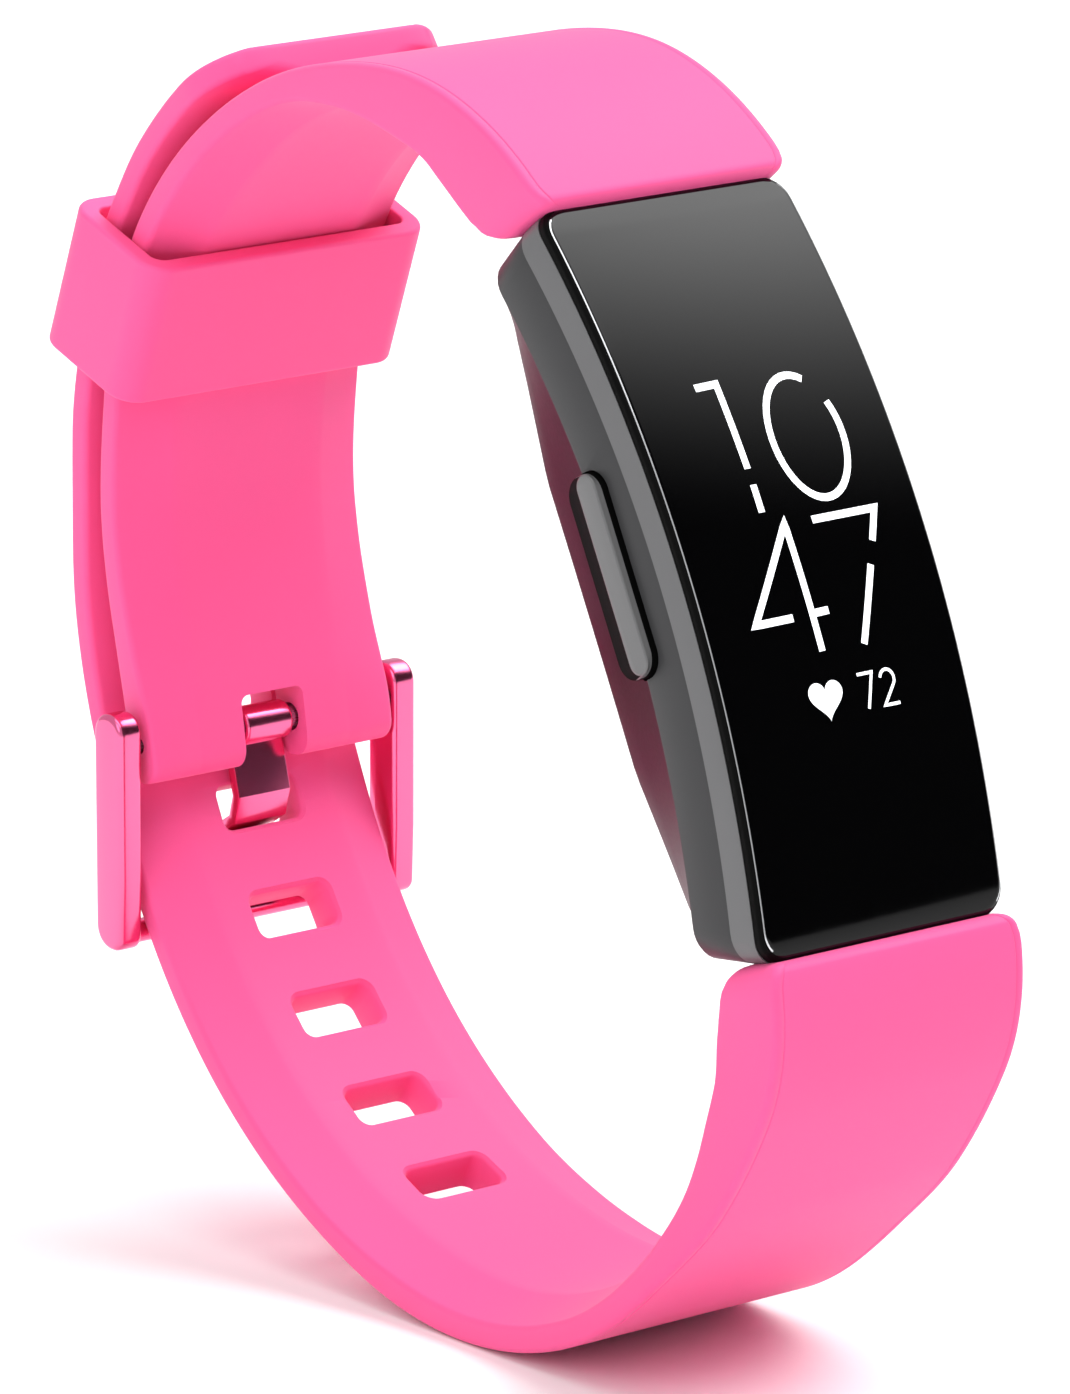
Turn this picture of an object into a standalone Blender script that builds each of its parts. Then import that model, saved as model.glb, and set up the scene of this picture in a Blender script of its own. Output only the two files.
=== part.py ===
"""Fitness tracker band, modelled buckled, as it sits round a wrist.

Frame: +X runs along the strap's width, -Y is the side the display faces, +Z is up,
and the origin is the middle of the wrist opening.  The tracker's module is laid out
flat in its own axes (x width, y along the display, z out of the glass) and is then
tilted into place.
"""
import math

import bmesh
import bpy
from mathutils import Matrix, Vector

MM = 0.001

# Fits
GAP = 0.15 * MM                 # between fixed parts that meet
RUN = 0.12 * MM                 # round parts that turn or slide

# Module, in its own axes
MODULE_Y = -21.0 * MM
MODULE_Z = 10.0 * MM
MODULE_TILT = math.radians(63.3)
CASE_WIDTH = 16.0 * MM
CASE_LENGTH = 36.9 * MM
CASE_CORNER = 1.6 * MM
CASE_WALL = 1.3 * MM
CASE_END_WALL = 2.6 * MM
CASE_END_LEAN = 1.35 * MM       # how far the case's ends slope in towards the skin
RIM = 0.3 * MM                  # case rim round the glass
GLASS_RADIUS = 64.0 * MM        # bend of the glass along its length
GLASS_RISE = 2.75 * MM
GLASS_THICK = 1.0 * MM
BAND_FLOOR = -1.65 * MM         # lower edge of the case band at mid length
BAND_RADIUS = 55.0 * MM
COVER_FLAT_Z = -8.9 * MM        # skin face of the rear cover
COVER_FLAT_HALF = 7.3 * MM
COVER_WALL = 0.9 * MM
COVER_TOP_WIDTH = 15.7 * MM
COVER_BOTTOM_WIDTH = 9.2 * MM
PANEL_THICK = 0.6 * MM

# Side button
BUTTON_Y = 1.05 * MM
BUTTON_Z = -1.62 * MM           # it straddles the joint between the case and the cover
BUTTON_LENGTH = 10.0 * MM
BUTTON_HEIGHT = 2.5 * MM
BUTTON_FACE_X = -8.67 * MM
BUTTON_CORNER = 1.1 * MM
FLANGE_Z = -1.2 * MM

# Straps
STRAP_WIDTH = 15.6 * MM
TONGUE_WIDTH = 15.2 * MM
CREASE_HALF = 4.8 * MM          # half width of the raised middle of the inner face
EDGE_CHAMFER = 0.2 * MM
LOOP_Y = -1.5 * MM              # shared centre of both layers under the keeper
LOOP_Z = 9.0 * MM
UPPER_RADIUS = 22.8 * MM
TONGUE_RADIUS = 25.3 * MM
TONGUE_FROM = math.radians(-4.0)
TONGUE_TO = math.radians(58.5)
END_LEAN = math.radians(4)      # lean of each strap's end face, which follows the case's end
UPPER_PUSH = ((0, 0), (9 * MM, 0.05 * MM), (16 * MM, -0.1 * MM), (23 * MM, 0), (36 * MM, 0.25 * MM),
              (46 * MM, -0.1 * MM), (56 * MM, 0.55 * MM), (61 * MM, 0.5 * MM))
LOWER_PUSH = ((0, 0), (14 * MM, -0.05 * MM), (20 * MM, -0.33 * MM), (28 * MM, -0.08 * MM), (42 * MM, -0.22 * MM),
              (61 * MM, 0), (72 * MM, 0), (84 * MM, 0.5 * MM), (93 * MM, -0.05 * MM), (98 * MM, -0.2 * MM),
              (106 * MM, 0), (110 * MM, 0.12 * MM), (122 * MM, 0.12 * MM))
END_WIDTHS = ((0, 12.8 * MM), (0.3 * MM, 14.0 * MM), (0.8 * MM, 14.9 * MM), (1.4 * MM, 15.4 * MM))
TIP_CORNER = 3.4 * MM
BLEND_PULL = 1.15               # how long the strap keeps its heading on the way to the tongue
HOLE_PITCH = 6.1 * MM
HOLE_COUNT = 10
HOLE_WIDTH = 4.9 * MM
HOLE_LENGTH = 2.3 * MM
HOLE_CORNER = 0.55 * MM
TANG_HOLE_S = 72.5 * MM         # along the strap, where the tang goes through
TANG_HOLE_INDEX = 4

# Buckle
BAR_Y = 18.3 * MM
BAR_Z = -5.35 * MM
TUBE_RADIUS = 0.6 * MM
TUBE_BORE = 0.42 * MM
TIP_RADIUS = 0.3 * MM
BARREL_RADIUS = 1.0 * MM
RAIL_INNER_X = 8.0 * MM
RAIL_OUTER_X = 9.45 * MM
CROSSBAR_Y = 18.6 * MM
CROSSBAR_Z = -14.95 * MM
CROSSBAR_RADIUS = 0.6 * MM
LUG_WIDTH = 15.2 * MM
NOTCH_WIDTH = 3.9 * MM
TANG_WIDTH = 3.3 * MM
TANG_THICK = 0.6 * MM
TANG_TOP = (19.0 * MM, -5.6 * MM)
TANG_BEND = (18.15 * MM, -8.95 * MM)
TANG_KNEE = (18.5 * MM, -10.2 * MM)
TANG_DROP = 0.35 * MM           # how far below the hole's middle the tang passes

# Keeper
KEEPER_ANGLE = math.radians(20.5)
KEEPER_WIDTH = 17.6 * MM
KEEPER_HEIGHT = 7.7 * MM
KEEPER_INNER = 19.2 * MM
KEEPER_OUTER = 26.7 * MM
SLOT_INNER = 20.2 * MM
SLOT_OUTER = 25.55 * MM
SLOT_WIDTH = 15.7 * MM

# Connector between each strap and the case
CONNECTOR_TOP = -1.2 * MM
CONNECTOR_FLOOR = -2.3 * MM

PARTS = bpy.data.collections.new("fitness_tracker_band")
CUTTERS = bpy.data.collections.new("cutters")


# ---------------------------------------------------------------- helpers

def clear_scene():
    for item in list(bpy.data.objects):
        bpy.data.objects.remove(item, do_unlink=True)
    bpy.context.scene.collection.children.link(PARTS)
    bpy.context.scene.collection.children.link(CUTTERS)


def material(name, colour, roughness, metallic=0.0):
    made = bpy.data.materials.new(name)
    made.use_nodes = True
    shader = made.node_tree.nodes["Principled BSDF"]
    shader.inputs["Base Color"].default_value = (*colour, 1.0)
    shader.inputs["Roughness"].default_value = roughness
    shader.inputs["Metallic"].default_value = metallic
    made.diffuse_color = (*colour, 1.0)
    return made


def add_part(name, mesh, look, place=None, smooth=False):
    part = bpy.data.objects.new(name, mesh)
    PARTS.objects.link(part)
    mesh.materials.clear()
    mesh.materials.append(look)
    if place is not None:
        part.matrix_world = place
    if smooth:
        mesh.shade_smooth()
        mesh.set_sharp_from_angle(angle=math.radians(35))
    return part


def add_cutter(name, mesh, place=None):
    tool = bpy.data.objects.new(name, mesh)
    CUTTERS.objects.link(tool)
    tool.hide_render = True
    tool.display_type = 'WIRE'
    if place is not None:
        tool.matrix_world = place
    return tool


def boolean(part, tool, operation):
    step = part.modifiers.new(operation.lower(), 'BOOLEAN')
    step.operation = operation
    step.solver = 'EXACT'
    step.object = tool


def cut(part, name, mesh, place=None):
    boolean(part, add_cutter(name, mesh, place), 'DIFFERENCE')


def bevel(part, width, segments=2, angle=40):
    step = part.modifiers.new("bevel", 'BEVEL')
    step.width = width
    step.segments = segments
    step.limit_method = 'ANGLE'
    step.angle_limit = math.radians(angle)


def box_mesh(low, high):
    """A box between two corners."""
    low = Vector(low)
    high = Vector(high)
    work = bmesh.new()
    shape = Matrix.Translation((low + high) / 2) @ Matrix.Diagonal((high - low)).to_4x4()
    bmesh.ops.create_cube(work, size=1.0, matrix=shape)
    return finish_mesh(work, "box")


def rod_mesh(radius, low_x, high_x, y=0.0, z=0.0, segments=24):
    """A round rod along X."""
    work = bmesh.new()
    middle = Matrix.Translation(((low_x + high_x) / 2, y, z))
    bmesh.ops.create_cone(work, cap_ends=True, segments=segments, radius1=radius, radius2=radius,
                          depth=high_x - low_x, matrix=middle @ Matrix.Rotation(math.pi / 2, 4, 'Y'))
    return finish_mesh(work, "rod")


def post_mesh(radius, low_z, high_z, x=0.0, y=0.0, segments=24):
    """A round post along Z."""
    work = bmesh.new()
    bmesh.ops.create_cone(work, cap_ends=True, segments=segments, radius1=radius, radius2=radius,
                          depth=high_z - low_z, matrix=Matrix.Translation((x, y, (low_z + high_z) / 2)))
    return finish_mesh(work, "post")


def finish_mesh(work, name):
    mesh = bpy.data.meshes.new(name)
    work.to_mesh(mesh)
    work.free()
    return mesh


def plate_mesh(outline, thickness, place=None):
    """A flat outline in XY, given a thickness along Z, as one welded mesh."""
    drawing = bpy.data.curves.new("outline", 'CURVE')
    drawing.dimensions = '2D'
    drawing.fill_mode = 'BOTH'
    drawing.extrude = thickness / 2
    line = drawing.splines.new('POLY')
    line.points.add(len(outline) - 1)
    for point, (x, y) in zip(line.points, outline):
        point.co = (x, y, 0.0, 1.0)
    line.use_cyclic_u = True
    guide = bpy.data.objects.new("outline", drawing)
    bpy.context.scene.collection.objects.link(guide)
    bpy.context.view_layer.update()
    graph = bpy.context.evaluated_depsgraph_get()
    mesh = bpy.data.meshes.new_from_object(guide.evaluated_get(graph))
    bpy.data.objects.remove(guide, do_unlink=True)
    work = bmesh.new()
    work.from_mesh(mesh)
    bmesh.ops.remove_doubles(work, verts=work.verts, dist=0.0001 * MM)
    bmesh.ops.recalc_face_normals(work, faces=work.faces)
    if place is not None:
        bmesh.ops.transform(work, matrix=place, verts=work.verts)
    work.to_mesh(mesh)
    work.free()
    return mesh


def side_mesh(outline, width):
    """An outline of (y, z) points, given a width along X."""
    stand = Matrix(((0, 0, 1, 0), (1, 0, 0, 0), (0, 1, 0, 0), (0, 0, 0, 1)))
    return plate_mesh(outline, width, stand)


def end_mesh(outline, length):
    """An outline of (x, z) points, given a length along Y."""
    return plate_mesh(outline, length, Matrix.Rotation(math.pi / 2, 4, 'X'))


def rounded_outline(width, length, corner, steps=5):
    points = []
    for quarter, (sx, sy) in enumerate(((1, 1), (-1, 1), (-1, -1), (1, -1))):
        for step in range(steps + 1):
            turn = math.pi / 2 * (quarter + step / steps)
            x = sx * (width / 2 - corner) + corner * math.cos(turn)
            y = sy * (length / 2 - corner) + corner * math.sin(turn)
            points.append((x, y))
    return points


def soften(corners, steps=4):
    """An outline from (y, z, radius) corners in millimetres, each rounded by an arc."""
    points = []
    for i, (y, z, radius) in enumerate(corners):
        here = Vector((y, z))
        before = (Vector(corners[i - 1][:2]) - here).normalized()
        after = (Vector(corners[(i + 1) % len(corners)][:2]) - here).normalized()
        half = before.angle(after) / 2
        middle = here + (before + after).normalized() * radius / math.sin(half)
        arm = here + before * radius / math.tan(half) - middle
        way = math.copysign(math.pi - 2 * half, after.x * before.y - after.y * before.x)
        for step in range(steps + 1 if radius else 1):
            turn = way * step / steps
            y = middle.x + arm.x * math.cos(turn) - arm.y * math.sin(turn)
            z = middle.y + arm.x * math.sin(turn) + arm.y * math.cos(turn)
            points.append((y * MM, z * MM))
    return points


def slab_mesh(width, length, corner, low_z, high_z, y=0.0, x=0.0):
    """A rounded rectangle between two heights."""
    place = Matrix.Translation((x, y, (low_z + high_z) / 2))
    return plate_mesh(rounded_outline(width, length, corner), high_z - low_z, place)


def loft_mesh(sections):
    """A solid through closed sections that all have the same number of points."""
    work = bmesh.new()
    rings = [[work.verts.new(point) for point in section] for section in sections]
    count = len(rings[0])
    for near, far in zip(rings, rings[1:]):
        for i in range(count):
            j = (i + 1) % count
            work.faces.new((near[i], near[j], far[j], far[i]))
    work.faces.new(rings[0])
    work.faces.new(rings[-1])
    bmesh.ops.recalc_face_normals(work, faces=work.faces)
    return finish_mesh(work, "loft")


def coil_mesh(radius, wire, start, end, turns, steps=10):
    """A coil spring's wire between two points on its axis."""
    start = Vector(start)
    along = Vector(end) - start
    turn_to = along.to_track_quat('Z', 'Y').to_matrix()
    count = turns * steps
    drawing = bpy.data.curves.new("coil", 'CURVE')
    drawing.dimensions = '3D'
    drawing.bevel_depth = wire
    drawing.bevel_resolution = 0
    drawing.use_fill_caps = True
    line = drawing.splines.new('POLY')
    line.points.add(count)
    for i, point in enumerate(line.points):
        angle = 2 * math.pi * i / steps
        spot = Vector((radius * math.cos(angle), radius * math.sin(angle), along.length * i / count))
        point.co = (*(start + turn_to @ spot), 1.0)
    guide = bpy.data.objects.new("coil", drawing)
    bpy.context.scene.collection.objects.link(guide)
    bpy.context.view_layer.update()
    mesh = bpy.data.meshes.new_from_object(guide.evaluated_get(bpy.context.evaluated_depsgraph_get()))
    bpy.data.objects.remove(guide, do_unlink=True)
    work = bmesh.new()
    work.from_mesh(mesh)
    bmesh.ops.remove_doubles(work, verts=work.verts, dist=0.0001 * MM)
    bmesh.ops.recalc_face_normals(work, faces=work.faces)
    return finish_mesh(work, "coil")


def between(table, at):
    """The value at a place along a table of (place, value) pairs, in straight steps."""
    for (a, low), (b, high) in zip(table, table[1:]):
        if at <= b:
            return low + (high - low) * max(at - a, 0.0) / (b - a)
    return table[-1][1]


# ---------------------------------------------------------------- module shapes

MODULE = Matrix.Translation((0, MODULE_Y, MODULE_Z)) @ Matrix.Rotation(MODULE_TILT, 4, 'X')


def glass_height(y):
    return GLASS_RISE - GLASS_RADIUS + math.sqrt(GLASS_RADIUS ** 2 - y ** 2)


def band_floor(y):
    return BAND_FLOOR - BAND_RADIUS + math.sqrt(BAND_RADIUS ** 2 - y ** 2)


def curved_outline(top, floor, half, foot=None, steps=20):
    """Points (y, z) between two curves over a length of 2 * half, or 2 * foot along the lower one."""
    shares = [2 * i / steps - 1 for i in range(steps + 1)]
    upper = [(half * share, top(half * share)) for share in shares]
    foot = half if foot is None else foot
    lower = [(foot * share, floor(foot * share)) for share in reversed(shares)]
    return upper + lower


def curved_plate(name, look, width, length, corner, top, floor, lean=None):
    """A rounded rectangle that follows the bend of the glass."""
    tall = 20 * MM
    part = add_part(name, slab_mesh(width, length, corner, -tall, tall), look, MODULE)
    half = length * 0.6 if lean is None else length / 2 + GAP
    foot = None if lean is None else length / 2 - lean
    layer = side_mesh(curved_outline(top, floor, half, foot), width * 1.5)
    boolean(part, add_cutter(name + "_layer", layer, MODULE), 'INTERSECT')
    return part


def make_glass(look):
    inner = CASE_WIDTH - 2 * (RIM + GAP)
    glass = curved_plate("front_glass", look, inner, CASE_LENGTH - 2 * (RIM + GAP), CASE_CORNER - RIM,
                         glass_height, lambda y: glass_height(y) - GLASS_THICK)
    bevel(glass, 0.2 * MM, 1)


def make_gasket(look):
    top = GLASS_THICK + 0.1 * MM
    ring = curved_plate("display_gasket", look, 14.9 * MM, 35.6 * MM, 1.0 * MM,
                        lambda y: glass_height(y) - top, lambda y: glass_height(y) - top - 0.2 * MM)
    cut(ring, "gasket_window", slab_mesh(13.9 * MM, 33.9 * MM, 0.6 * MM, -5 * MM, 5 * MM), MODULE)


def make_display_panel(look):
    top = GLASS_THICK + 0.1 * MM
    curved_plate("display_panel", look, 13.0 * MM, 30.8 * MM, 0.6 * MM,
                 lambda y: glass_height(y) - top, lambda y: glass_height(y) - top - PANEL_THICK)


def make_case(look):
    ledge = GLASS_THICK + 0.4 * MM
    case = curved_plate("main_case", look, CASE_WIDTH, CASE_LENGTH, CASE_CORNER,
                        lambda y: glass_height(y) - 0.15 * MM, band_floor, CASE_END_LEAN)
    bevel(case, 0.25 * MM, 1)
    seat = side_mesh(curved_outline(lambda y: 9 * MM, lambda y: glass_height(y) - ledge, 22 * MM), 30 * MM)
    recess = add_cutter("glass_recess", slab_mesh(CASE_WIDTH - 2 * RIM, CASE_LENGTH - 2 * RIM,
                                                  CASE_CORNER - RIM, -9 * MM, 9 * MM), MODULE)
    boolean(recess, add_cutter("glass_seat", seat, MODULE), 'INTERSECT')
    boolean(case, recess, 'DIFFERENCE')
    hollow = slab_mesh(CASE_WIDTH - 2 * CASE_WALL, CASE_LENGTH - 2 * CASE_END_WALL, 0.8 * MM,
                       -9 * MM, 9 * MM)
    cut(case, "case_hollow", hollow, MODULE)
    cut(case, "case_button_opening", button_opening(), BUTTON_SEAT)
    for side, name in ((1, "upper"), (-1, "lower")):
        slot = box_mesh((-3.7 * MM, min(side * 16.3, side * 18.9) * MM, CONNECTOR_FLOOR - GAP),
                        (3.7 * MM, max(side * 16.3, side * 18.9) * MM, CONNECTOR_TOP + GAP))
        cut(case, name + "_slot", slot, MODULE)


def cover_mesh(inset, lift):
    """The tapered block of the rear cover, moved in by inset, with its top raised by lift."""
    wide = COVER_TOP_WIDTH / 2 - inset * 1.1
    narrow = COVER_BOTTOM_WIDTH / 2 - inset * 1.1
    floor = COVER_FLAT_Z + inset
    cross = [(wide, 6 * MM), (-wide, 6 * MM), (-wide, -1.7 * MM), (-narrow, floor), (narrow, floor),
             (wide, -1.7 * MM)]
    end = 16.8 * MM - inset
    foot = 15.6 * MM - inset
    places = [end * (2 * i / 16 - 1) for i in range(17)]
    profile = [(y, band_floor(y) - GAP + lift) for y in places]
    profile += [(foot, floor + 1.3 * MM), (COVER_FLAT_HALF, floor), (-COVER_FLAT_HALF, floor),
                (-foot, floor + 1.3 * MM)]
    return side_mesh(profile, 40 * MM), end_mesh(cross, 60 * MM)


def make_rear_cover(look):
    profile, cross = cover_mesh(0.0, 0.0)
    cover = add_part("rear_cover", profile, look, MODULE)
    boolean(cover, add_cutter("cover_taper", cross, MODULE), 'INTERSECT')
    bevel(cover, 0.35 * MM, 2)
    profile, cross = cover_mesh(COVER_WALL, 8 * MM)
    hollow = add_cutter("cover_hollow", profile, MODULE)
    boolean(hollow, add_cutter("hollow_taper", cross, MODULE), 'INTERSECT')
    boolean(cover, hollow, 'DIFFERENCE')
    cut(cover, "cover_button_opening", button_opening(), BUTTON_SEAT)
    cut(cover, "window_opening", slab_mesh(6.4 * MM, 9.0 * MM, 1.5 * MM, -12 * MM, -6 * MM), MODULE)
    for x in (-1.5 * MM, 1.5 * MM):
        cut(cover, "pin_opening", post_mesh(0.75 * MM, -12 * MM, -6 * MM, x, -10.5 * MM), MODULE)


def make_sensor(looks):
    window = slab_mesh(6.1 * MM, 8.7 * MM, 1.4 * MM, COVER_FLAT_Z - 0.1 * MM, -8.2 * MM)
    bevel(add_part("sensor_window", window, looks["window"], MODULE), 0.15 * MM, 1)
    board = slab_mesh(6.2 * MM, 12.6 * MM, 0.4 * MM, -7.0 * MM, -6.5 * MM, y=-1.8 * MM)
    add_part("sensor_board", board, looks["board"], MODULE)
    for y, name in ((2.9 * MM, "upper_green_led"), (-2.9 * MM, "lower_green_led")):
        led = box_mesh((-0.8 * MM, y - 0.5 * MM, -7.8 * MM), (0.8 * MM, y + 0.5 * MM, -7.1 * MM))
        add_part(name, led, looks["led"], MODULE)
    diode = box_mesh((-1.3 * MM, -1.3 * MM, -7.8 * MM), (1.3 * MM, 1.3 * MM, -7.1 * MM))
    add_part("photodiode", diode, looks["chip"], MODULE)
    for x, name in ((-1.5 * MM, "left_charging_pin"), (1.5 * MM, "right_charging_pin")):
        pin = post_mesh(0.6 * MM, -8.75 * MM, -7.3 * MM, x, -10.5 * MM)
        add_part(name, pin, looks["gold"], MODULE, smooth=True)


def make_electronics(looks):
    frame = slab_mesh(12.6 * MM, 26.0 * MM, 0.8 * MM, -0.95 * MM, -0.55 * MM)
    carrier = add_part("mid_frame", frame, looks["steel"], MODULE)
    cut(carrier, "frame_window", slab_mesh(8.0 * MM, 19.0 * MM, 1.0 * MM, -3 * MM, 3 * MM), MODULE)
    reach = BUTTON_LENGTH / 2 + 0.8 * MM
    gate = box_mesh((-8 * MM, BUTTON_Y - reach, -3 * MM), (-3.8 * MM, BUTTON_Y + reach, 3 * MM))
    cut(carrier, "button_gate", gate, MODULE)
    board = slab_mesh(8.8 * MM, 25.0 * MM, 0.6 * MM, -1.7 * MM, -1.1 * MM)
    add_part("main_board", board, looks["board"], MODULE)
    chips = (("processor_chip", 3.6, 3.6, 0.5, 5.5), ("radio_chip", 3.0, 2.4, -0.4, -1.6),
             ("motion_sensor_chip", 2.2, 2.2, 1.0, -6.0))
    for name, width, length, x, y in chips:
        low = ((x - width / 2) * MM, (y - length / 2) * MM, -1.0 * MM)
        high = ((x + width / 2) * MM, (y + length / 2) * MM, -0.3 * MM)
        add_part(name, box_mesh(low, high), looks["chip"], MODULE)
    battery = slab_mesh(9.0 * MM, 17.0 * MM, 1.0 * MM, -5.6 * MM, -2.1 * MM, y=-2.6 * MM)
    bevel(add_part("battery", battery, looks["battery"], MODULE), 0.4 * MM, 2)
    switch = box_mesh((-5.85 * MM, BUTTON_Y - 1.5 * MM, -1.0 * MM), (-4.55 * MM, BUTTON_Y + 1.5 * MM, 0.1 * MM))
    add_part("tact_switch", switch, looks["steel"], MODULE)


def make_motor(looks):
    y = 10.2 * MM
    z = -4.1 * MM
    can = add_part("vibration_motor_can", rod_mesh(1.8 * MM, -3.8 * MM, 0.8 * MM, y, z, 28),
                   looks["steel"], MODULE, smooth=True)
    cut(can, "motor_bore", rod_mesh(1.4 * MM, -3.3 * MM, 0.3 * MM, y, z, 28), MODULE)
    cut(can, "motor_shaft_hole", rod_mesh(0.5 * MM, 0.0, 2.0 * MM, y, z), MODULE)
    rotor = MODULE @ Matrix.Translation((0, y, z))
    weight = add_part("vibration_weight", rod_mesh(1.7 * MM, 1.2 * MM, 3.0 * MM, segments=28),
                      looks["steel"], rotor, smooth=True)
    cut(weight, "weight_half", box_mesh((0.5 * MM, -3 * MM, 0.5 * MM), (4 * MM, 3 * MM, 3 * MM)), rotor)
    shaft = add_cutter("rotor_shaft", rod_mesh(0.35 * MM, -2.8 * MM, 1.6 * MM), rotor)
    boolean(weight, shaft, 'UNION')


def button_place(x, z=BUTTON_Z):
    """The button's outline lies in XY, its length along X, and faces out of the case's side."""
    turn = Matrix(((0, 0, -1, 0), (1, 0, 0, 0), (0, -1, 0, 0), (0, 0, 0, 1)))
    return Matrix.Translation((x, BUTTON_Y, z)) @ turn


def button_opening():
    depth = 1.5 * MM
    return slab_mesh(BUTTON_LENGTH + 2 * RUN, BUTTON_HEIGHT + 2 * RUN, BUTTON_CORNER + RUN, -depth, depth)


BUTTON_SEAT = MODULE @ button_place(-CASE_WIDTH / 2 + 0.6 * MM)


def make_button(look):
    inner_x = -6.4 * MM
    middle = (BUTTON_FACE_X + inner_x) / 2
    cap = slab_mesh(BUTTON_LENGTH, BUTTON_HEIGHT, BUTTON_CORNER,
                    -(inner_x - BUTTON_FACE_X) / 2, (inner_x - BUTTON_FACE_X) / 2)
    button = add_part("side_button", cap, look, MODULE @ button_place(middle))
    bevel(button, 0.2 * MM, 2)
    flange = slab_mesh(BUTTON_LENGTH + 0.9 * MM, 1.2 * MM, 0.5 * MM, -0.125 * MM, 0.125 * MM)
    boolean(button, add_cutter("button_flange", flange, MODULE @ button_place(-6.42 * MM, FLANGE_Z)), 'UNION')


# ---------------------------------------------------------------- straps

def arc_path(point, heading, arcs, pitch=1.6 * MM):
    """Stations (place along, (y, z), heading) over arcs of (radius, turn in degrees)."""
    stations = [(0.0, point, heading)]
    for radius, turn in arcs:
        turn = math.radians(turn)
        count = max(2, round(radius * abs(turn) / pitch))
        for _ in range(count):
            place, (y, z), _ = stations[-1]
            step = turn / count
            chord = 2 * radius * math.sin(abs(step) / 2)
            y += chord * math.cos(heading + step / 2)
            z += chord * math.sin(heading + step / 2)
            heading += step
            stations.append((place + radius * abs(step), (y, z), heading))
    return stations


def blend_path(stations, point, heading, count):
    """Stations on from the last one to a point and heading, on a smooth curve."""
    place, start, turned = stations[-1]
    reach = BLEND_PULL * math.dist(start, point)
    before = start
    for i in range(1, count + 1):
        t = i / count
        pull_a = t * (1 - t) ** 2 * reach
        pull_b = -t * t * (1 - t) * reach
        ease = t * t * (3 - 2 * t)
        y = start[0] + (point[0] - start[0]) * ease + pull_a * math.cos(turned) + pull_b * math.cos(heading)
        z = start[1] + (point[1] - start[1]) * ease + pull_a * math.sin(turned) + pull_b * math.sin(heading)
        place += math.dist(before, (y, z))
        before = (y, z)
        stations.append((place, before, None))
    stations[-1] = (place, before, heading)
    for i in range(len(stations) - count, len(stations) - 1):
        (_, a, _), (_, b, _) = stations[i - 1], stations[i + 1]
        middle = stations[i]
        stations[i] = (middle[0], middle[1], math.atan2(b[1] - a[1], b[0] - a[0]))
    return stations


def eased(table, at):
    """As between, but along a smooth curve."""
    for (a, low), (b, high) in zip(table, table[1:]):
        if at <= b:
            share = max(at - a, 0.0) / (b - a)
            return low + (high - low) * share * share * (3 - 2 * share)
    return table[-1][1]


def pushed(stations, side, pushes):
    """The stations moved outwards by a table of (place, push)."""
    moved = []
    for place, (y, z), heading in stations:
        push = eased(pushes, place)
        normal = heading + side * math.pi / 2
        moved.append((place, (y - push * math.cos(normal), z - push * math.sin(normal)), heading))
    return moved


def upper_path():
    start = (-13.2 * MM, 26.95 * MM)
    stations = arc_path(start, math.radians(43), ((18 * MM, -50.6), (UPPER_RADIUS, -93.7), (400 * MM, -1.1)))
    return pushed(stations, -1, UPPER_PUSH)


def lower_path():
    start = (-29.95 * MM, -6.5 * MM)
    bends = ((11 * MM, 42), (32 * MM, 28), (21.5 * MM, 57), (34 * MM, 35.5))
    stations = arc_path(start, math.radians(-106), bends)
    meet = (LOOP_Y + TONGUE_RADIUS * math.cos(TONGUE_FROM), LOOP_Z + TONGUE_RADIUS * math.sin(TONGUE_FROM))
    stations = blend_path(stations, meet, TONGUE_FROM + math.pi / 2, 14)
    place = stations[-1][0]
    turn = TONGUE_TO - TONGUE_FROM
    tongue = arc_path(meet, TONGUE_FROM + math.pi / 2, ((TONGUE_RADIUS, math.degrees(turn)),))
    stations += [(place + s, point, heading) for s, point, heading in tongue[1:]]
    return pushed(stations, 1, LOWER_PUSH)


def strap_section(point, inward, half, edge, middle):
    """One closed section: flat outside, raised middle and sloping edges inside."""
    crease = CREASE_HALF * half / (STRAP_WIDTH / 2)
    c = min(EDGE_CHAMFER, edge / 3)
    shape = [(-half + c, 0), (half - c, 0), (half, c), (half, edge - c), (half - c, edge), (crease, middle),
             (-crease, middle), (-half + c, edge), (-half, edge - c), (-half, c)]
    return [Vector((x, point[0] + depth * inward[0], point[1] + depth * inward[1])) for x, depth in shape]


def strap_mesh(stations, side, widths, edges, bulges):
    """A strap lofted along its outer line; side is +1 where the wrist is to the left."""
    module_in = -(math.pi / 2 - MODULE_TILT) + side * END_LEAN
    lead = 4 * MM
    sections = []
    for place, point, heading in stations:
        normal = heading + side * math.pi / 2
        normal = math.remainder(normal, 2 * math.pi)
        share = min(place / lead, 1.0)
        share = share * share * (3 - 2 * share)
        angle = module_in + (normal - module_in) * share if place < lead else normal
        edge = between(edges, place)
        inward = (math.cos(angle), math.sin(angle))
        sections.append(strap_section(point, inward, between(widths, place) / 2, edge,
                                      edge + between(bulges, place)))
    return loft_mesh(sections)


def tip_widths(length):
    """Width table whose last stretch rounds the two corners of the tip."""
    table = [*END_WIDTHS, (2 * MM, STRAP_WIDTH), (length * 0.6, TONGUE_WIDTH), (length - TIP_CORNER, TONGUE_WIDTH)]
    for i in range(1, 7):
        turn = math.pi / 2 * i / 6
        table.append((length - TIP_CORNER * (1 - math.sin(turn)),
                      TONGUE_WIDTH - 2 * TIP_CORNER * (1 - math.cos(turn))))
    return table


def with_end(stations, places):
    """The stations with more of them close to the end that meets the module."""
    extra = [(place, *station_at(stations, place)) for place in places]
    return stations[:1] + extra + stations[1:]


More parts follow.
